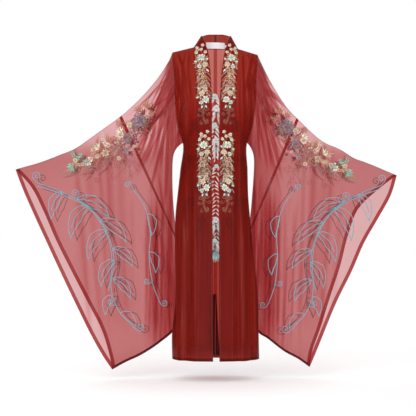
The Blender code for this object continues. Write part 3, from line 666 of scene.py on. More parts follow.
def panelShell(side, face):
    first = 0 if face == "front" else -yokeColumns
    columns = np.linspace(first, panelColumns, (panelColumns - first) * fine["column"] + 1)
    rows = np.linspace(0, armRows + skirtRows, (armRows + skirtRows) * fine["row"] + 1)
    grid = panelPoints(side, face, columns[None, :], rows[:, None])
    x, z = grid[..., 0], grid[..., 2]
    # painted fold shade is added to the darkening down the cloth
    densityAndShade = shadeDown(face, z) + shading["bodyFolds"] * foldShadeAt(face, x, z) - 0.10
    if face == "back":
        # darker on both sides of the centre seam, below the hips
        densityAndShade += 0.5 * ease((-0.60 - z) / 0.3) * ease((0.05 - np.abs(x)) / 0.02)
    densityAndShade += darkHem(z)
    name = face + "Panel_" + side
    cloth = frontCloth if face == "front" else backCloth
    thing = addShell(name, face + "_" + side, grid, cloth, False, densityAndShade)
    extras = [strip(name, "hem", "bottom", hem["body"], hemCloth, 1.0),
              strip(name, "sideSeam", "right", hem["fine"], fineSeamCloth)]
    if face == "back":
        extras.append(strip(name, "centreSeam", "left", hem["centreBack"], seamCloth))
        extras.append(ventFacing(side))
    declare(thing, extras)


def bandShell(side):
    low = armRows + skirtRows
    rows = np.linspace(-yokeColumns, low, (yokeColumns + low) * fine["row"] + 1)
    grid = bandPoints(side, np.linspace(0, 1, 13)[None, :], rows[:, None])
    x, z = grid[..., 0], grid[..., 2]
    # painted fold shade is added to the darkening down the band
    densityAndShade = shadeDown("band", z) + shading["bandFolds"] * foldShadeAt("front", x, z)
    densityAndShade += darkHem(z) + 0.3 * ease(-rows[:, None] / 2)
    name = "collarBand_" + side
    thing = addShell(name, "band_" + side, grid, bandCloth, False, densityAndShade)
    declare(thing, [strip(name, "fold", "right", hem["fold"], seamCloth),
                    strip(name, "backSeam", "top", hem["fine"], hemCloth, 0.8),
                    strip(name, "seam", "left", hem["fold"], hemCloth),
                    strip(name, "hem", "bottom", hem["body"], hemCloth, 1.0)])


def sleeveShell(side, part, low, high, count):
    upper = part == "upper"
    stations = np.linspace(low, high, count * fine[part] + 1)
    ring = np.linspace(0, 2 * armRows, 2 * armRows * fine[part + "Ring"] + 1)[:-1]
    grid = sleevePoints(side, stations[:, None], ring[None, :])
    x, z = grid[..., 0], grid[..., 2]
    # painted fold shade on the sleeve, taken from the body's folds
    densityAndShade = np.where(ring[None, :] <= armRows, foldShadeAt("front", x, z), foldShadeAt("back", x, z))
    near = shading["lowerFolds"] + shading["lowerNear"] * ease((0.36 - np.abs(x)) / 0.14)
    densityAndShade *= shading["upperFolds"] if upper else near
    densityAndShade += shading["sleeve"] + shading["sleeveNear"] * ease((0.30 - np.abs(x)) / 0.10)
    densityAndShade -= shading["sleeveHang"] * ease((z + 0.46) / 0.18) * ease((np.abs(x) - 0.18) / 0.05)
    densityAndShade = np.clip(densityAndShade, *shading["sleeveRange"])
    name = part + "Sleeve_" + side
    thing = addShell(name, part + "_sleeve_" + side, grid, sleeveCloth, True, densityAndShade)
    if upper:
        extras = [strip(name, "topSeam", "top", hem["fine"], fineSeamCloth),
                  strip(name, "endHem", "bottom", hem["seam"], seamCloth, 0.4)]
    else:
        extras = [strip(name, "topSeam", "top", hem["seam"], seamCloth, 0.3),
                  strip(name, "endHem", "bottom", hem["cuff"], cuffCloth, 0.4), underSeam(name)]
    declare(thing, extras)


for side in sides:
    for face in faces:
        panelShell(side, face)
    bandShell(side)
    sleeveShell(side, "upper", 0.0, 1.0, 9)
    sleeveShell(side, "lower", 1.0, 2.0, 12)
print("cloth shells made")

# Silk threads, in linear colours
thread = {
    "cream": (0.64, 0.57, 0.40), "ivory": (0.78, 0.76, 0.64), "gold": (0.30, 0.20, 0.075),
    "aqua": (0.11, 0.37, 0.36), "sky": (0.17, 0.33, 0.43), "mint": (0.15, 0.40, 0.29),
    "coral": (0.36, 0.085, 0.050), "orange": (0.34, 0.095, 0.035), "violet": (0.120, 0.070, 0.105),
    "olive": (0.105, 0.075, 0.032), "lilac": (0.19, 0.135, 0.185), "rose": (0.34, 0.10, 0.095),
    "white": (0.78, 0.97, 0.96), "snow": (0.82, 0.96, 0.92), "silver": (0.105, 0.30, 0.37),
    "tan": (0.26, 0.09, 0.045), "teal": (0.05, 0.27, 0.27), "dew": (0.34, 0.90, 0.90),
    "pale": (0.66, 0.86, 0.97), "red": (0.16, 0.010, 0.012), "straw": (0.54, 0.44, 0.27),
    "dusk": (0.065, 0.10, 0.085),
}
layers = {"near": -1, "far": 1}


def allShells():
    corners, polygons = [], []
    for base in made.values():
        mesh = base["thing"].data
        start = len(corners)
        corners += [v.co.copy() for v in mesh.vertices]
        polygons += [tuple(start + i for i in face.vertices) for face in mesh.polygons]
    return BVHTree.FromPolygons(corners, polygons)


shells = allShells()


def onCloth(x, z, layer):
    side = layers[layer]
    place, normal, _, _ = shells.ray_cast(Vector((x, side * 1.0, z)), Vector((0, -side, 0)))
    if place is None or normal.y * side < -0.2 or abs(normal.y) < 0.12:
        return None
    return np.array(place), np.array(normal if normal.y * side > 0 else -normal)


stitched = {}  # satin shapes by piece name: points, faces, colours and thread directions
drawn = {}  # outline stitches by piece name and thread: lists of 3-D lines

# How satin looks: its points along, its own random shade, its painted light from the base on, its painted
# shade down the middle, and how far it is raised
satinLook = {
    "along": 6, "shade": 0.82, "vary": 0.26, "base": 0.66, "gain": 0.40, "rim": 0.12,
    "raised": 0.0003, "seamRaised": 0.0013, "seamHalf": 0.010,
}


# Each kind of work takes on: the name of its piece and the layer of cloth it is worked on
def satin(on, x, z, angle, long, wide, colour, bend=0.0, tip=1.0, base=0.72, rise=0.0011):
    # one petal or leaf, worked in satin stitch and domed on both sides of the cloth; colour runs from base
    # to tip
    piece, layer = on
    inner, outer = (thread[name] for name in (colour if isinstance(colour, tuple) else (colour, colour)))
    us, vs = np.linspace(0, 1, satinLook["along"]), np.linspace(-1, 1, 3)
    steps, turn = len(us) - 1, angle + bend * (us - 0.3)
    stepX, stepZ = np.cos(turn) * long / steps, np.sin(turn) * long / steps
    spineX = x + np.concatenate([[0], np.cumsum(stepX[:-1])])
    spineZ = z + np.concatenate([[0], np.cumsum(stepZ[:-1])])
    half = wide / 2 * np.sin(math.pi * us ** base) ** tip
    points = []
    for i in range(len(us)):
        for v in vs:
            hit = onCloth(spineX[i] - math.sin(turn[i]) * half[i] * v,
                          spineZ[i] + math.cos(turn[i]) * half[i] * v, layer)
            if hit is None:
                return False
            points.append((hit[0], hit[1], us[i], v))
    box = stitched.setdefault(piece, {"points": [], "faces": [], "colours": [], "uvs": []})
    shade = satinLook["shade"] + satinLook["vary"] * rng.random()
    for way in (1, -1):
        start = len(box["points"])
        for place, normal, u, v in points:
            dome = rise * math.sqrt(max(0.0, 1 - v * v)) * math.sin(math.pi * min(1, u * 0.9 + 0.06)) ** 0.5
            nearSeam = layer == "far" and way < 0 and abs(place[0]) < satinLook["seamHalf"]
            raised = satinLook["seamRaised"] if nearSeam else satinLook["raised"]
            box["points"].append(place + normal * way * (raised + dome))
            # painted light: each satin shape is painted brighter from its base to its tip, and painted
            # darker down its middle row
            light = satinLook["base"] + satinLook["gain"] * min(1, u * 1.4)
            light = shade * light * (1 - satinLook["rim"] * (1 - abs(v)))
            box["colours"].append([min(1, (a + (b - a) * u) * light) for a, b in zip(inner, outer)] + [1])
            box["uvs"].append((u * long, v * wide / 2))
        for i in range(len(us) - 1):
            for j in range(2):
                a = start + i * 3 + j
                face = (a, a + 1, a + 4, a + 3)
                box["faces"].append(face if way * layers[layer] > 0 else face[::-1])
    return True


def curveThrough(points, step=0.006):
    points = np.array(points, float)
    run = np.concatenate([[0], np.cumsum(np.linalg.norm(np.diff(points, axis=0), axis=1))])
    at = np.linspace(0, run[-1], max(int(run[-1] / step), 2) + 1)
    return np.stack([smooth(at, run, points[:, 0]), smooth(at, run, points[:, 1])], axis=1)


def outline(on, points, colour, lift=0.0006):
    # a line of chain stitch through points of the front view
    piece, layer = on
    line = []
    for x, z in curveThrough(points):
        hit = onCloth(x, z, layer)
        if hit is None or (line and np.linalg.norm(hit[0] - line[-1]) > 0.03):
            if len(line) > 1:
                drawn.setdefault((piece, colour), []).append(line)
            line = []
            continue
        line.append(hit[0] + hit[1] * lift)
    if len(line) > 1:
        drawn.setdefault((piece, colour), []).append(line)


def away(x, z, angle, reach):
    return x + math.cos(angle) * reach, z + math.sin(angle) * reach


def mirror(sign, angle):
    return angle if sign > 0 else math.pi - angle


def blossom(on, x, z, radius, petals, colours, turn=0.0, heart="gold"):
    # rings of uneven petals, each ring smaller, round knots and fine stamens
    kinds = len(colours)
    for ring in range(3):
        reach, count = radius * (1, 0.74, 0.48)[ring], petals + 1 - ring
        tints = (colours[ring % kinds], colours[(ring + 1) % kinds]) if ring else (colours[-1], colours[0])
        for k in range(count):
            angle = turn + ring * 0.45 + 2 * math.pi * k / count + rng.uniform(-0.12, 0.12)
            satin(on, *away(x, z, angle, reach * 0.10), angle, reach * rng.uniform(0.76, 1.0),
                  reach * rng.uniform(0.42, 0.60), tints, rng.uniform(-0.5, 0.5), rng.uniform(0.6, 0.8),
                  rng.uniform(1.15, 1.45), 0.0008 + 0.0005 * ring)
    for k in range(4):
        px, pz = away(x, z, 2 * math.pi * k / 4 + turn, radius * 0.10)
        satin(on, px - radius * 0.05, pz, 0, radius * 0.13, radius * 0.12, heart, 0, 0.5, 1.0, 0.0024)
    for k in range(5):
        angle = turn + 0.3 + 2 * math.pi * k / 5
        outline(on, [away(x, z, angle, radius * 0.16), away(x, z, angle + 0.1, radius * 0.62)], heart,
                0.0022)


def cluster(on, x, z, radius, count, colours):
    # a head of many tiny four-petalled florets
    for k in range(count):
        px, pz = away(x, z, k * 2.4, radius * math.sqrt((k + 0.5) / count))
        tint = colours[k % len(colours)]
        for petal in range(4):
            satin(on, px, pz, k + petal * math.pi / 2, radius * 0.26, radius * 0.17, tint, 0.2, 0.7, 1.2,
                  0.0012)


def lily(on, x, z, angle, long, colour):
    # a trumpet flower seen from the side: five long petals spread as a fan, with stamens
    for k in (-2, 2, -1, 1, 0):
        satin(on, x, z, angle + k * 0.46, long * (1 - 0.10 * abs(k)), long * 0.17, colour, k * 0.40, 1.0,
              0.95, 0.0010)
    for k in (-1, 0, 1):
        outline(on, [(x, z), away(x, z, angle + k * 0.12, long * 1.15)], "gold", 0.0018)


def scatter(on, x, z, wide, tall, count, colour, angle, long):
    # fine single threads fanned over a patch
    for _ in range(count):
        px, pz = x + rng.uniform(-wide, wide), z + rng.uniform(-tall, tall)
        way, bend = angle + rng.uniform(-0.7, 0.7), rng.uniform(-0.8, 0.8)
        outline(on, [away(px, pz, way + bend * k / 3, long * k / 3) for k in range(4)], colour)


def frond(on, points, pairs, long, wide, colour, stem, spreadAngle=0.75, taper=0.55):
    # a stem with pairs of slim leaves, shorter towards its tip
    path = curveThrough(points, 0.004)
    outline(on, points, stem)
    for k in range(pairs):
        i = int((k + 0.6) / pairs * (len(path) - 2))
        tangent = math.atan2(path[i + 1][1] - path[i][1], path[i + 1][0] - path[i][0])
        size = 1 - taper * k / pairs
        for hand in (1, -1):
            satin(on, *path[i], tangent + hand * spreadAngle * rng.uniform(0.85, 1.15),
                  long * size * rng.uniform(0.85, 1.1), wide * size, colour, -hand * 0.5, 1.0, 0.8, 0.0008)
    satin(on, *path[-1], tangent, long * 0.6, wide * 0.8, colour)


spiral = {"turns": 1.35, "tail": 1.2, "shrink": 0.80, "steps": 18}


def curl(on, x, z, angle, radius, colour, hand=1):
    # a tendril that ends in a spiral
    line = [away(x, z, angle, radius * spiral["tail"] * k / 4) for k in range(5)]
    cx = line[-1][0] - math.sin(angle) * radius * hand
    cz = line[-1][1] + math.cos(angle) * radius * hand
    for k in range(1, spiral["steps"] + 1):
        share = k / spiral["steps"]
        way = angle - hand * (math.pi / 2 - spiral["turns"] * 2 * math.pi * share)
        line.append(away(cx, cz, way, radius * (1 - spiral["shrink"] * share)))
    outline(on, line, colour)


def openLeaf(on, x, z, angle, long, wide, colour, bend, rib):
    # a large leaf in outline alone, its edges gently waved, with or without a rib
    for hand in (1, -1, 0) if rib else (1, -1):
        line = []
        for k in range(13):
            u = k / 12 if hand else k / 12 * 0.72
            turn = angle + bend * (u - 0.5)
            half = wide / 2 * math.sin(math.pi * u ** 0.8) * (1 + 0.07 * math.sin(u * 17)) * hand
            line.append((x + math.cos(turn) * long * u - math.sin(turn) * half,
                         z + math.sin(turn) * long * u + math.cos(turn) * half))
        outline(on, line, colour)


def bandMiddle(side, z):
    seam, edge = (float(smooth(z, bandShape["z"], bandShape[line + side])) for line in ("seam", "edge"))
    return (seam + edge) / 2


# The band's vine: places are across the band's middle and down from each start
bandVine = {
    "starts": (0.018, -0.345),
    "stem": ((0.004, -0.01), (-0.011, -0.055), (0.013, -0.105), (-0.009, -0.165), (0.009, -0.215),
             (-0.002, -0.262)),
    "fronds": (
        (-0.004, -0.090, -0.021, -0.165, "straw"), (0.008, -0.095, 0.021, -0.172, "cream"),
        (0.000, -0.110, 0.002, -0.195, "ivory"), (0.012, -0.040, 0.027, -0.092, "straw"),
        (-0.008, -0.035, -0.026, -0.088, "cream"), (0.004, -0.008, 0.024, -0.040, "cream"),
        (-0.006, -0.165, -0.022, -0.215, "ivory"), (0.008, -0.160, 0.024, -0.215, "gold"),
    ),
    "buds": ((-0.012, 0.004), (0.014, -0.006), (-0.003, -0.014), (0.020, -0.028), (-0.018, -0.026)),
    "flowers": (
        (0.003, -0.050, 0.019, ("ivory", "cream", "aqua")),
        (-0.011, -0.080, 0.015, ("cream", "ivory", "gold")),
        (0.012, -0.088, 0.012, ("ivory", "aqua", "sky")),
        (0.008, -0.200, 0.016, ("cream", "ivory", "gold")),
        (-0.007, -0.226, 0.018, ("ivory", "cream", "aqua")),
        (0.012, -0.238, 0.011, ("ivory", "sky", "aqua")),
    ),
    "leaves": (
        (-0.016, -0.060, 2.6, "aqua"), (0.020, -0.070, 0.3, "mint"), (-0.020, -0.205, 3.4, "aqua"),
        (0.020, -0.215, -0.4, "mint"), (-0.006, -0.248, -1.9, "aqua"), (0.006, -0.250, -1.2, "sky"),
        (-0.016, -0.100, -2.4, "sky"), (0.016, -0.185, 0.6, "aqua"),
    ),
    # down, reach across and down, count, thread, angle and length
    "threads": ((-0.140, 0.018, 0.040, 15, "straw", -1.4, 0.016),
                (-0.150, 0.020, 0.050, 14, "dusk", -1.5, 0.020),
                (-0.205, 0.026, 0.030, 12, "ivory", -1.2, 0.012),
                (-0.060, 0.024, 0.030, 16, "cream", -0.9, 0.013)),
    "waves": (0, 0.35, 0.7, 1.0, 1.25),
    "curls": (
        (0.000, -0.258, -1.9, 0.0085, "tan"), (0.004, -0.262, -1.1, 0.0090, "gold"),
        (-0.006, -0.282, -2.2, 0.0080, "tan"), (0.010, -0.288, -0.9, 0.0080, "tan"),
        (0.000, -0.302, -1.6, 0.0090, "gold"), (-0.012, -0.310, -2.0, 0.0070, "tan"),
        (0.014, -0.312, -1.0, 0.0070, "tan"),
    ),
    "tail": ((0.0, -0.262), (0.006, -0.290), (-0.002, -0.325)),
}


def bandSprays(side):
    # repeats of a climbing flower vine on the front band
    on, sign = ("bandEmbroidery_" + side, "near"), sides[side]

    def at(across, z):
        return sign * (bandMiddle(side, z) + across), z

    for start in bandVine["starts"]:
        outline(on, [at(a, start + d) for a, d in bandVine["stem"]], "gold")
        for a, d, b, e, colour in bandVine["fronds"]:
            middle = at((a + b) / 2 + 0.005, start + (d + e) / 2)
            line = [at(a, start + d), middle, at(b, start + e)]
            frond(on, line, 8, 0.0125, 0.0020, colour, "gold", 0.70)
        for k, (a, d) in enumerate(bandVine["buds"]):
            blossom(on, *at(a, start + d), 0.0078, 4, ("ivory", "cream"), k * 0.5)
        for a, d, r, colours in bandVine["flowers"]:
            blossom(on, *at(a, start + d), r * 0.86, 6, colours, rng.uniform(0, 1))
        for a, d, turn, colour in bandVine["leaves"]:
            satin(on, *at(a, start + d), mirror(sign, turn), 0.014, 0.0065, (colour, "ivory"), 0.4)
            satin(on, *at(a, start + d), mirror(sign, turn + 0.55), 0.011, 0.0045, (colour, "aqua"), 0.4)
        for d, wide, tall, count, colour, turn, long in bandVine["threads"]:
            scatter(on, *at(0.0, start + d), wide, tall, count, colour, mirror(sign, turn), long)
        for k in range(12):
            reach, drop = (0.018 + 0.002 * (k % 3)) * (1 if k % 2 else -1), 0.105 + 0.009 * k
            wave = [(u, start - drop + 0.020 * math.sin(u * 2.2) - 0.012 * u) for u in bandVine["waves"]]
            outline(on, [at(reach * u ** 1.6, z) for u, z in wave], "straw" if k % 3 else "ivory")
        for k, (a, d, turn, r, colour) in enumerate(bandVine["curls"]):
            curl(on, *at(a, start + d), mirror(sign, turn), r, colour, sign * (1 if k % 2 else -1))
        frond(on, [at(a, start + d) for a, d in bandVine["tail"]], 8, 0.012, 0.0022, "tan", "tan")


backVine = {
    "stem": ((0.003, -0.165), (-0.006, -0.30), (0.006, -0.45), (-0.005, -0.62), (0.004, -0.78),
             (0.0, -0.885)),
    # x, z, radius and pairs of leaves below each flower
    "flowers": (
        (-0.002, -0.178, 0.013, 3), (0.004, -0.228, 0.016, 5), (-0.004, -0.300, 0.013, 4),
        (0.003, -0.366, 0.016, 6), (0.004, -0.476, 0.010, 2), (0.003, -0.705, 0.014, 5),
        (-0.002, -0.795, 0.011, 4),
    ),
    "petals": (("white", "snow", "dew"), ("snow", "pale", "white")),
    # points, pairs, length, width, thread, spread and taper
    "fronds": (
        (((0.006, -0.300), (-0.006, -0.345), (0.004, -0.395), (-0.002, -0.445)), 8, 0.028, 0.0060, "white",
         0.80, 0.3),
        (((0.008, -0.495), (-0.006, -0.560), (0.005, -0.630), (-0.003, -0.705)), 12, 0.027, 0.0058, "snow",
         0.85, 0.2),
        (((0.0, -0.715), (0.005, -0.770), (-0.003, -0.840)), 7, 0.026, 0.0058, "dew", 0.70, 0.3),
    ),
    "fan": (("teal", "dew"), ("aqua", "dew"), ("sky", "white")),
    "sprays": (
        (0.056, -0.245, ("violet", "lilac", "rose")), (0.094, -0.300, ("coral", "rose", "orange")),
        (0.062, -0.380, ("rose", "coral", "violet")), (0.108, -0.445, ("violet", "rose", "lilac")),
        (0.072, -0.550, ("coral", "orange", "rose")), (0.104, -0.630, ("rose", "lilac", "violet")),
        (0.058, -0.710, ("violet", "coral", "rose")),
    ),
}


def backColumn():
    # a column of white lilies and blossoms down the centre back
    on, low = ("backEmbroidery", "far"), -math.pi / 2
    outline(on, backVine["stem"], "silver")
    for k, (x, z, r, steps) in enumerate(backVine["flowers"]):
        for hand in (1, -1):
            for step in range(steps):
                angle = low + hand * (1.05 - 0.17 * step) + rng.uniform(-0.2, 0.2)
                long = (0.020 + 0.005 * step) * rng.uniform(0.8, 1.2)
                tints = ("dew", "white") if (step + k) % 3 == 0 else ("white", "snow")
                satin(on, x + hand * 0.002, z - r * 0.3 - step * 0.007, angle, long, 0.0066, tints,
                      -hand * (1.0 - 0.1 * step), 0.9, 0.8)
            curl(on, x + hand * r, z - r * 0.4, low + hand * 0.9, 0.008, "white", hand)
        blossom(on, x, z, r, 7, backVine["petals"][k % 2], 0.5 + k, "sky")
    for points, pairs, long, wide, colour, opening, taper in backVine["fronds"]:
        frond(on, points, pairs, long, wide, colour, "white", opening, taper)
    for k in range(9):
        satin(on, 0.0, -0.835, low + (k - 4) * 0.15, 0.056 - 0.002 * abs(k - 4), 0.007,
              backVine["fan"][k % 3], 0.1 * (k - 4))


def backSprays(side):
    on, sign = ("backEmbroidery", "far"), sides[side]
    for k, (x, z, colours) in enumerate(backVine["sprays"]):
        blossom(on, sign * x, z, 0.021 + 0.004 * (k % 3), 6, colours, k, "gold")
        outer = [(sign * (x + a), z - d) for a, d in ((0.0, 0.01), (0.022, 0.05), (0.016, 0.105))]
        inner = [(sign * (x - a), z - d) for a, d in ((0.0, -0.01), (0.018, 0.03), (0.026, 0.070))]
        frond(on, outer, 11, 0.024, 0.0040, ("olive", "tan", "rose")[k % 3], "olive")
        frond(on, inner, 8, 0.018, 0.0035, "tan", "tan")
        curl(on, sign * (x - 0.014), z - 0.02, -math.pi / 2 - sign * 0.7, 0.014, "tan", -sign)
        scatter(on, sign * (x + 0.012), z - 0.06, 0.02, 0.035, 10, "rose", -1.5, 0.02)


# The sleeves' work is drawn for the left one. Fit: stretched and raised on each side, moved on the far layer
branch = {
    "fit": {"left": (1.0, 0.0), "right": (1.07, 0.022), "shift": 0.014, "drop": 0.5},
    "stem": (
        (0.262, -0.262), (0.318, -0.335), (0.375, -0.400), (0.440, -0.442), (0.505, -0.470),
        (0.580, -0.492),
    ),
    "fronds": (
        (0.300, -0.300, -0.9, 0.085, "orange"), (0.330, -0.350, -1.7, 0.100, "olive"),
        (0.372, -0.400, -1.3, 0.105, "tan"), (0.410, -0.420, 0.25, 0.060, "cream"),
        (0.430, -0.440, -1.9, 0.095, "olive"), (0.478, -0.462, -1.1, 0.090, "cream"),
        (0.530, -0.472, 0.10, 0.050, "mint"), (0.545, -0.485, -1.5, 0.080, "gold"),
        (0.355, -0.345, 0.10, 0.050, "coral"), (0.270, -0.285, -2.0, 0.080, "tan"),
        (0.500, -0.470, -2.1, 0.080, "rose"), (0.450, -0.430, 0.6, 0.045, "orange"),
        (0.392, -0.420, -2.6, 0.080, "rose"), (0.460, -0.455, -1.5, 0.110, "tan"),
    ),
    "clusters": (
        (0.300, -0.312, 0.030, 22, ("violet", "lilac", "violet")),
        (0.342, -0.385, 0.024, 16, ("lilac", "violet", "rose")),
        (0.392, -0.395, 0.022, 14, ("coral", "rose", "straw")),
        (0.500, -0.486, 0.020, 12, ("mint", "aqua", "ivory")),
        (0.322, -0.345, 0.018, 10, ("violet", "lilac")),
    ),
    "flowers": (
        (0.336, -0.330, 0.013, ("cream", "gold")), (0.370, -0.372, 0.015, ("cream", "rose")),
        (0.430, -0.448, 0.017, ("straw", "rose")), (0.376, -0.470, 0.010, ("cream", "rose")),
        (0.548, -0.478, 0.011, ("cream", "gold")), (0.318, -0.420, 0.009, ("rose", "cream")),
        (0.462, -0.462, 0.013, ("coral", "cream")),
    ),
    "lilies": (
        (0.272, -0.262, 1.9, 0.038, ("coral", "orange")), (0.292, -0.274, 0.6, 0.034, ("orange", "coral")),
        (0.262, -0.285, 2.9, 0.030, ("coral", "rose")), (0.366, -0.362, 0.8, 0.030, ("cream", "ivory")),
        (0.410, -0.402, 1.2, 0.030, ("coral", "orange")), (0.452, -0.428, 0.5, 0.032, ("ivory", "cream")),
        (0.470, -0.440, 1.0, 0.026, ("coral", "cream")), (0.556, -0.500, -0.7, 0.034, ("mint", "aqua")),
        (0.356, -0.430, -2.2, 0.026, ("violet", "lilac")), (0.522, -0.462, 0.5, 0.022, ("aqua", "mint")),
    ),
    "threads": ((0.40, -0.445, 0.05, 0.035, 50, "rose", -1.2, 0.026),
                (0.43, -0.440, 0.06, 0.025, 24, "straw", -0.8, 0.020),
                (0.30, -0.34, 0.035, 0.035, 26, "orange", -1.2, 0.024),
                (0.36, -0.50, 0.035, 0.045, 22, "tan", -1.5, 0.030)),
    "curls": ((0.330, -0.470, -1.8), (0.300, -0.420, -2.0), (0.420, -0.520, -1.2), (0.470, -0.535, -1.6)),
}
vine = {
    "fit": {"left": (1.0, 0.0), "right": (1.06, 0.010), "shift": 0.018, "drop": 0.6},
    "stems": (
        ((0.700, -0.560), (0.605, -0.598), (0.505, -0.657), (0.430, -0.762), (0.400, -0.885),
         (0.412, -0.995), (0.385, -1.090), (0.325, -1.165)),
        ((0.330, -0.580), (0.280, -0.660), (0.258, -0.760), (0.262, -0.870), (0.250, -0.980),
         (0.225, -1.060)),
    ),
    "leaves": (
        (0.605, -0.598, -0.95, 0.120, 0.042, -0.5), (0.505, -0.657, -0.80, 0.150, 0.052, -0.6),
        (0.430, -0.762, -0.65, 0.140, 0.050, -0.7), (0.400, -0.885, -0.75, 0.120, 0.044, -0.7),
        (0.408, -1.030, -0.95, 0.085, 0.034, -0.6), (0.545, -0.630, -2.95, 0.150, 0.050, 0.6),
        (0.455, -0.718, -2.75, 0.140, 0.048, 0.6), (0.405, -0.835, -2.70, 0.110, 0.042, 0.6),
        (0.403, -0.960, -2.55, 0.110, 0.042, 0.6), (0.375, -1.105, -2.70, 0.085, 0.034, 0.6),
        (0.268, -0.690, -2.05, 0.090, 0.034, 0.6), (0.262, -0.850, -2.15, 0.090, 0.034, 0.6),
    ),
    "curls": (
        (0.700, -0.560, 0.75, 0.019, 1), (0.325, -1.165, -2.40, 0.018, -1),
        (0.225, -1.060, -2.20, 0.015, -1), (0.545, -0.628, 1.90, 0.017, -1),
        (0.395, -1.070, -0.10, 0.014, 1), (0.252, -0.975, -0.60, 0.013, 1),
        (0.330, -0.580, 1.30, 0.014, -1),
    ),
}


def fitted(side, layer, fit):
    sign = sides[side]
    stretch, up = fit[side]
    shift = 0.0 if layer == "near" else fit["shift"]

    def at(x, z):
        return sign * (x * stretch - shift), z + up - shift * fit["drop"]

    return at, sign


def sleeveSprays(side, layer):
    # a flowering branch just under the sleeve's top edge
    on = ("sleeveEmbroidery_" + side, layer)
    at, sign = fitted(side, layer, branch["fit"])
    outline(on, [at(x, z) for x, z in branch["stem"]], "olive")
    for x, z, angle, long, colour in branch["fronds"]:
        line = [at(*away(x, z, angle + 0.25 * k, long * k / 3)) for k in range(4)]
        frond(on, line, 11, 0.018, 0.0030, colour, "olive" if colour != "cream" else "gold", 0.65)
    for x, z, r, count, colours in branch["clusters"]:
        cluster(on, *at(x, z), r, count, colours)
    for k, (x, z, r, colours) in enumerate(branch["flowers"]):
        blossom(on, *at(x, z), r, 6 + k % 2, colours, k * 0.7, "gold")
    for x, z, angle, long, colour in branch["lilies"]:
        lily(on, *at(x, z), mirror(sign, angle), long, colour)
    for x, z, wide, tall, count, colour, angle, long in branch["threads"]:
        scatter(on, *at(x, z), wide, tall, count, colour, mirror(sign, angle), long)
    for k, (x, z, angle) in enumerate(branch["curls"]):
        curl(on, *at(x, z), mirror(sign, angle), 0.013, "tan", sign * (1 if k % 2 else -1))


def sleeveVines(side, layer):
    # long flowing leaf outlines over the hanging part of the sleeve
    on = ("vineEmbroidery_" + side, layer)
    at, sign = fitted(side, layer, vine["fit"])
    for stem in vine["stems"]:
        outline(on, [at(*p) for p in stem], "silver")
    beside = [(x - 0.010 * math.sin(i), z - 0.014) for i, (x, z) in enumerate(vine["stems"][0][:6])]
    outline(on, [at(*p) for p in beside], "silver")
    for x, z, angle, long, wide, bend in vine["leaves"]:
        openLeaf(on, *at(x, z), mirror(sign, angle), long, wide, "silver", bend * sign, long > 0.10)
    for x, z, angle, radius, hand in vine["curls"]:
        curl(on, *at(x, z), mirror(sign, angle), radius, "silver", hand * sign)


rng = random.Random(5)
for side in sides:
    bandSprays(side)
    backSprays(side)
    for layer in layers:
        sleeveSprays(side, layer)
        sleeveVines(side, layer)
backColumn()
print("embroidery drawn")

silk = {"Roughness": 0.38, "Sheen Weight": 0.25, "Specular IOR Level": 0.6}


def makeSilk(name, colour):
    material, tree, shader, output = nodeTree(name)
    fill(tree, shader, {**silk, "Base Color": colour})
    return material


def makeSatin():
    # the colour is each stitch's own thread colour with painted light and shade, and a fine wave runs along
    # the threads
    material, tree, shader, output = nodeTree("satinSilk")
    tint = addNode(tree, "ShaderNodeAttribute", {}, attribute_name="thread")
    fill(tree, shader, {**silk, "Base Color": tint.outputs["Color"]})
    where = addNode(tree, "ShaderNodeUVMap", {}, uv_map="cloth")
    wave = addNode(tree, "ShaderNodeTexWave", {"Scale": 260, "Distortion": 1.5, "Vector": where.outputs[0]})
    bumped(tree, shader, wave.outputs["Fac"], 0.6, 0.0004)
    return material


satinSilk = makeSatin()
for name, box in sorted(stitched.items()):
    mesh = bpy.data.meshes.new(name)
    mesh.from_pydata([tuple(p) for p in box["points"]], [], box["faces"])
    # the thread colours carry each satin shape's painted light and shade
    tint = mesh.color_attributes.new("thread", "FLOAT_COLOR", "POINT")
    tint.data.foreach_set("color", np.array(box["colours"], np.float32).ravel())
    layer = mesh.uv_layers.new(name="cloth")
    corners = np.array(box["faces"]).ravel()
    layer.data.foreach_set("uv", np.array(box["uvs"], np.float32)[corners].ravel())
    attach(placed(name, mesh, satinSilk), "root")
    print(name, len(box["faces"]) * 2, "triangles")

# Stitches are set along lines by one node group
bead = {"Segments": 4, "Rings": 3, "Radius": 0.5}
jitter = {2: -0.12, 3: 0.12, "Seed": 3}  # least and most slant added, and the fixed seed


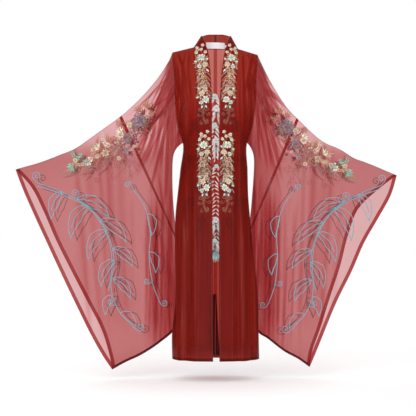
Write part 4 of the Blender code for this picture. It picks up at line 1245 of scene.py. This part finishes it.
def stitchGroup():
    group = bpy.data.node_groups.new("stitches", "GeometryNodeTree")
    sockets = [("Geometry", "INPUT", "Geometry")]
    sockets += [(name, "INPUT", "Float") for name in ("Spacing", "Length", "Width", "Height", "Slant")]
    sockets += [("Silk", "INPUT", "Material"), ("Geometry", "OUTPUT", "Geometry")]
    for name, way, kind in sockets:
        group.interface.new_socket(name, in_out=way, socket_type="NodeSocket" + kind)
    start = addNode(group, "NodeGroupInput", {}).outputs
    curve = addNode(group, "GeometryNodeMeshToCurve", {"Mesh": start["Geometry"]}).outputs["Curve"]
    spots = addNode(group, "GeometryNodeCurveToPoints", {}, mode="LENGTH")
    fill(group, spots, {"Curve": curve, "Length": start["Spacing"]})
    ball = addNode(group, "GeometryNodeMeshUVSphere", bead).outputs["Mesh"]
    sized = {"X": start["Width"], "Y": start["Height"], "Z": start["Length"]}
    size = addNode(group, "ShaderNodeCombineXYZ", sized).outputs[0]
    uneven = addNode(group, "FunctionNodeRandomValue", jitter, data_type="FLOAT").outputs[1]
    lean = calc(group, "ADD", start["Slant"], uneven)
    turn = addNode(group, "ShaderNodeCombineXYZ", {"Y": lean}).outputs[0]
    points = {"Points": spots.outputs["Points"], "Instance": ball, "Rotation": spots.outputs["Rotation"],
              "Scale": size}
    put = addNode(group, "GeometryNodeInstanceOnPoints", points).outputs["Instances"]
    slant = addNode(group, "GeometryNodeRotateInstances",
                    {"Instances": put, "Rotation": turn}).outputs["Instances"]
    real = addNode(group, "GeometryNodeRealizeInstances", {"Geometry": slant}).outputs["Geometry"]
    painted = {"Geometry": real, "Material": start["Silk"]}
    paint = addNode(group, "GeometryNodeSetMaterial", painted).outputs["Geometry"]
    addNode(group, "NodeGroupOutput", {"Geometry": paint})
    return group


stitches = stitchGroup()


def stitchAlong(name, lines, silk, spacing, long, wide, high, slant=0.0):
    points, edges = [], []
    for line in lines:
        edges += [(len(points) + i, len(points) + i + 1) for i in range(len(line) - 1)]
        points += [tuple(p) for p in line]
    mesh = bpy.data.meshes.new(name)
    mesh.from_pydata(points, edges, [])
    guide = bpy.data.objects.new(name + "_guide", mesh)
    bpy.context.scene.collection.objects.link(guide)
    modifier = guide.modifiers.new("stitches", "NODES")
    modifier.node_group = stitches
    values = {"Spacing": spacing, "Length": long, "Width": wide, "Height": high, "Slant": slant,
              "Silk": silk}
    for socket in stitches.interface.items_tree:
        if socket.in_out == "INPUT" and socket.name in values:
            modifier[socket.identifier] = values[socket.name]
    graph = bpy.context.evaluated_depsgraph_get()
    graph.update()
    finished = bpy.data.meshes.new_from_object(guide.evaluated_get(graph))
    guide.modifiers.remove(modifier)
    bpy.data.objects.remove(guide, do_unlink=True)
    finished.name = name
    thing = placed(name, finished)
    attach(thing, "root")
    print(name, sum(len(face.vertices) - 2 for face in finished.polygons), "triangles")
    return thing


# Spacing, length, width, height and slant of each kind of stitch
stitchSizes = {
    "vine": (0.0050, 0.0074, 0.0048, 0.0036, 0.30),
    "fine": (0.0032, 0.0046, 0.0014, 0.0012, 0.25),
    "hem": (0.0075, 0.0048, 0.0007, 0.0006),
    "label": (0.0030, 0.0022, 0.0007, 0.0007),
}
silks = {name: makeSilk("silk_" + name, colour + (1,)) for name, colour in thread.items()}
for (piece, colour), lines in sorted(drawn.items()):
    kind = "vine" if piece.startswith("vine") else "fine"
    stitchAlong(piece + "_" + colour, lines, silks[colour], *stitchSizes[kind])
for start, half in (("body", stitchLines[::2]), ("sleeve", stitchLines[1::2])):
    stitchAlong("hemStitches_" + start, half, silks["red"], *stitchSizes["hem"])
print("embroidery stitched")

# The label: bare woven tape inside the collar, stitched at both ends, with a small loose tab
label = {
    "half": 0.0415, "tall": 0.029, "off": 0.0030, "weave": (2600, 300), "sewnAt": 0.965, "sewnOff": 0.0004,
    "tabWide": 0.008, "tabTall": 0.012, "tabUp": 0.25, "tabOff": 0.0008,
    "tape": {"Base Color": (0.52, 0.54, 0.57, 1), "Roughness": 0.45, "Sheen Weight": 0.2},
}


def labelPoints(us, vs, lift):
    rows = np.linspace(-yokeColumns, 0, 41)
    out = np.zeros((len(vs), len(us), 3))
    for side, sign in sides.items():
        seam, edge = bandPoints(side, np.zeros(41), rows), bandPoints(side, np.ones(41), rows)
        for j, u in enumerate(us):
            if u * sign < 0 or (u == 0 and sign < 0):
                continue
            low, high = (np.array([np.interp(abs(u), np.abs(line[:, 0]), line[:, k]) for k in range(3)])
                         for line in (seam, edge))
            up = (high - low) / np.linalg.norm(high - low)
            inward = np.array([-low[0], -low[1], 0]) / math.hypot(low[0], low[1])
            for i, v in enumerate(vs):
                out[i, j] = low + inward * (label["off"] + lift) + up * label["tall"] * (0.10 + 0.90 * v)
    return out


tape, tree, shader, output = nodeTree("wovenTape")
bumped(tree, shader, noise(tree, uvScaled(tree, *label["weave"]), 2), 0.4, 0.0002)
fill(tree, shader, label["tape"])
grid = labelPoints(np.linspace(-label["half"], label["half"], 41), np.linspace(0, 1, 13), 0.0)
tag = addShell("neckLabel", "neck_label", grid, tape)
tabUs = np.linspace(label["half"], label["half"] + label["tabWide"], 5)
tabVs = np.linspace(label["tabUp"], label["tabUp"] + label["tabTall"] / label["tall"], 5)
tab = clothMesh("neckLabelTab", labelPoints(tabUs, tabVs, label["tabOff"]),
                made["neckLabel"]["normals"][:5, :5], tape)
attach(tab, "root")
ends = [labelPoints([end * label["half"]], np.linspace(0.02, 0.98, 9), label["sewnOff"])[:, 0]
        for end in (-label["sewnAt"], label["sewnAt"])]
sewn = stitchAlong("neckLabelSewing", ends, silks["red"], *stitchSizes["label"])
declare(tag, [tab, sewn])
print("label made")

# The camera stands at the photograph's angle, level with the middle of the robe
view = {"metresAPixel": 0.0042, "pixels": 416, "distance": 5.0, "x": -0.0315, "z": -0.6552}
scene = bpy.context.scene
camera = bpy.data.objects.new("camera", bpy.data.cameras.new("camera"))
camera.data.sensor_fit = "HORIZONTAL"
camera.data.angle = 2 * math.atan(view["metresAPixel"] * view["pixels"] / 2 / view["distance"])
camera.location = (view["x"], -view["distance"], view["z"])
camera.rotation_euler = (math.pi / 2, 0, 0)
scene.collection.objects.link(camera)
scene.camera = camera

studio = {"floorZ": -1.372, "floorSize": 60, "floorRough": 0.9, "white": (1.0, 1.0, 1.0, 1), "sky": 1.0,
          "aim": (0, 0, -0.64), "spotAngle": 26, "spotBlend": 0.4}
world = bpy.data.worlds.new("studio")
world.use_nodes = True
back = world.node_tree.nodes["Background"]
fill(world.node_tree, back, {"Color": studio["white"], "Strength": studio["sky"]})
scene.world = world
scene.view_settings.view_transform = "Standard"
bpy.ops.mesh.primitive_grid_add(x_subdivisions=2, y_subdivisions=2, size=studio["floorSize"])
floor = bpy.context.object
floor.name = "floor"
floor.data.transform(floor.matrix_world)
floor.location = (0, 0, studio["floorZ"])
floorPaint, tree, shader, output = nodeTree("floorPaint")
fill(tree, shader, {"Base Color": studio["white"], "Roughness": studio["floorRough"]})
floor.data.materials.append(floorPaint)
lamps = (("frontLamp", "SPOT", (-0.0315, -5.1, -0.655), 0.12, 700),
         ("keyLamp", "AREA", (-1.8, -3.2, 1.4), 2.2, 26))
for name, kind, place, size, power in lamps:
    lamp = bpy.data.objects.new(name, bpy.data.lights.new(name, kind))
    lamp.data.energy = power
    if kind == "SPOT":
        lamp.data.shadow_soft_size, lamp.data.spot_blend = size, studio["spotBlend"]
        lamp.data.spot_size = math.radians(studio["spotAngle"])
    else:
        lamp.data.size = size
    lamp.location = place
    lamp.rotation_euler = (Vector(studio["aim"]) - Vector(place)).to_track_quat("-Z", "Y").to_euler()
    scene.collection.objects.link(lamp)
print("studio made")
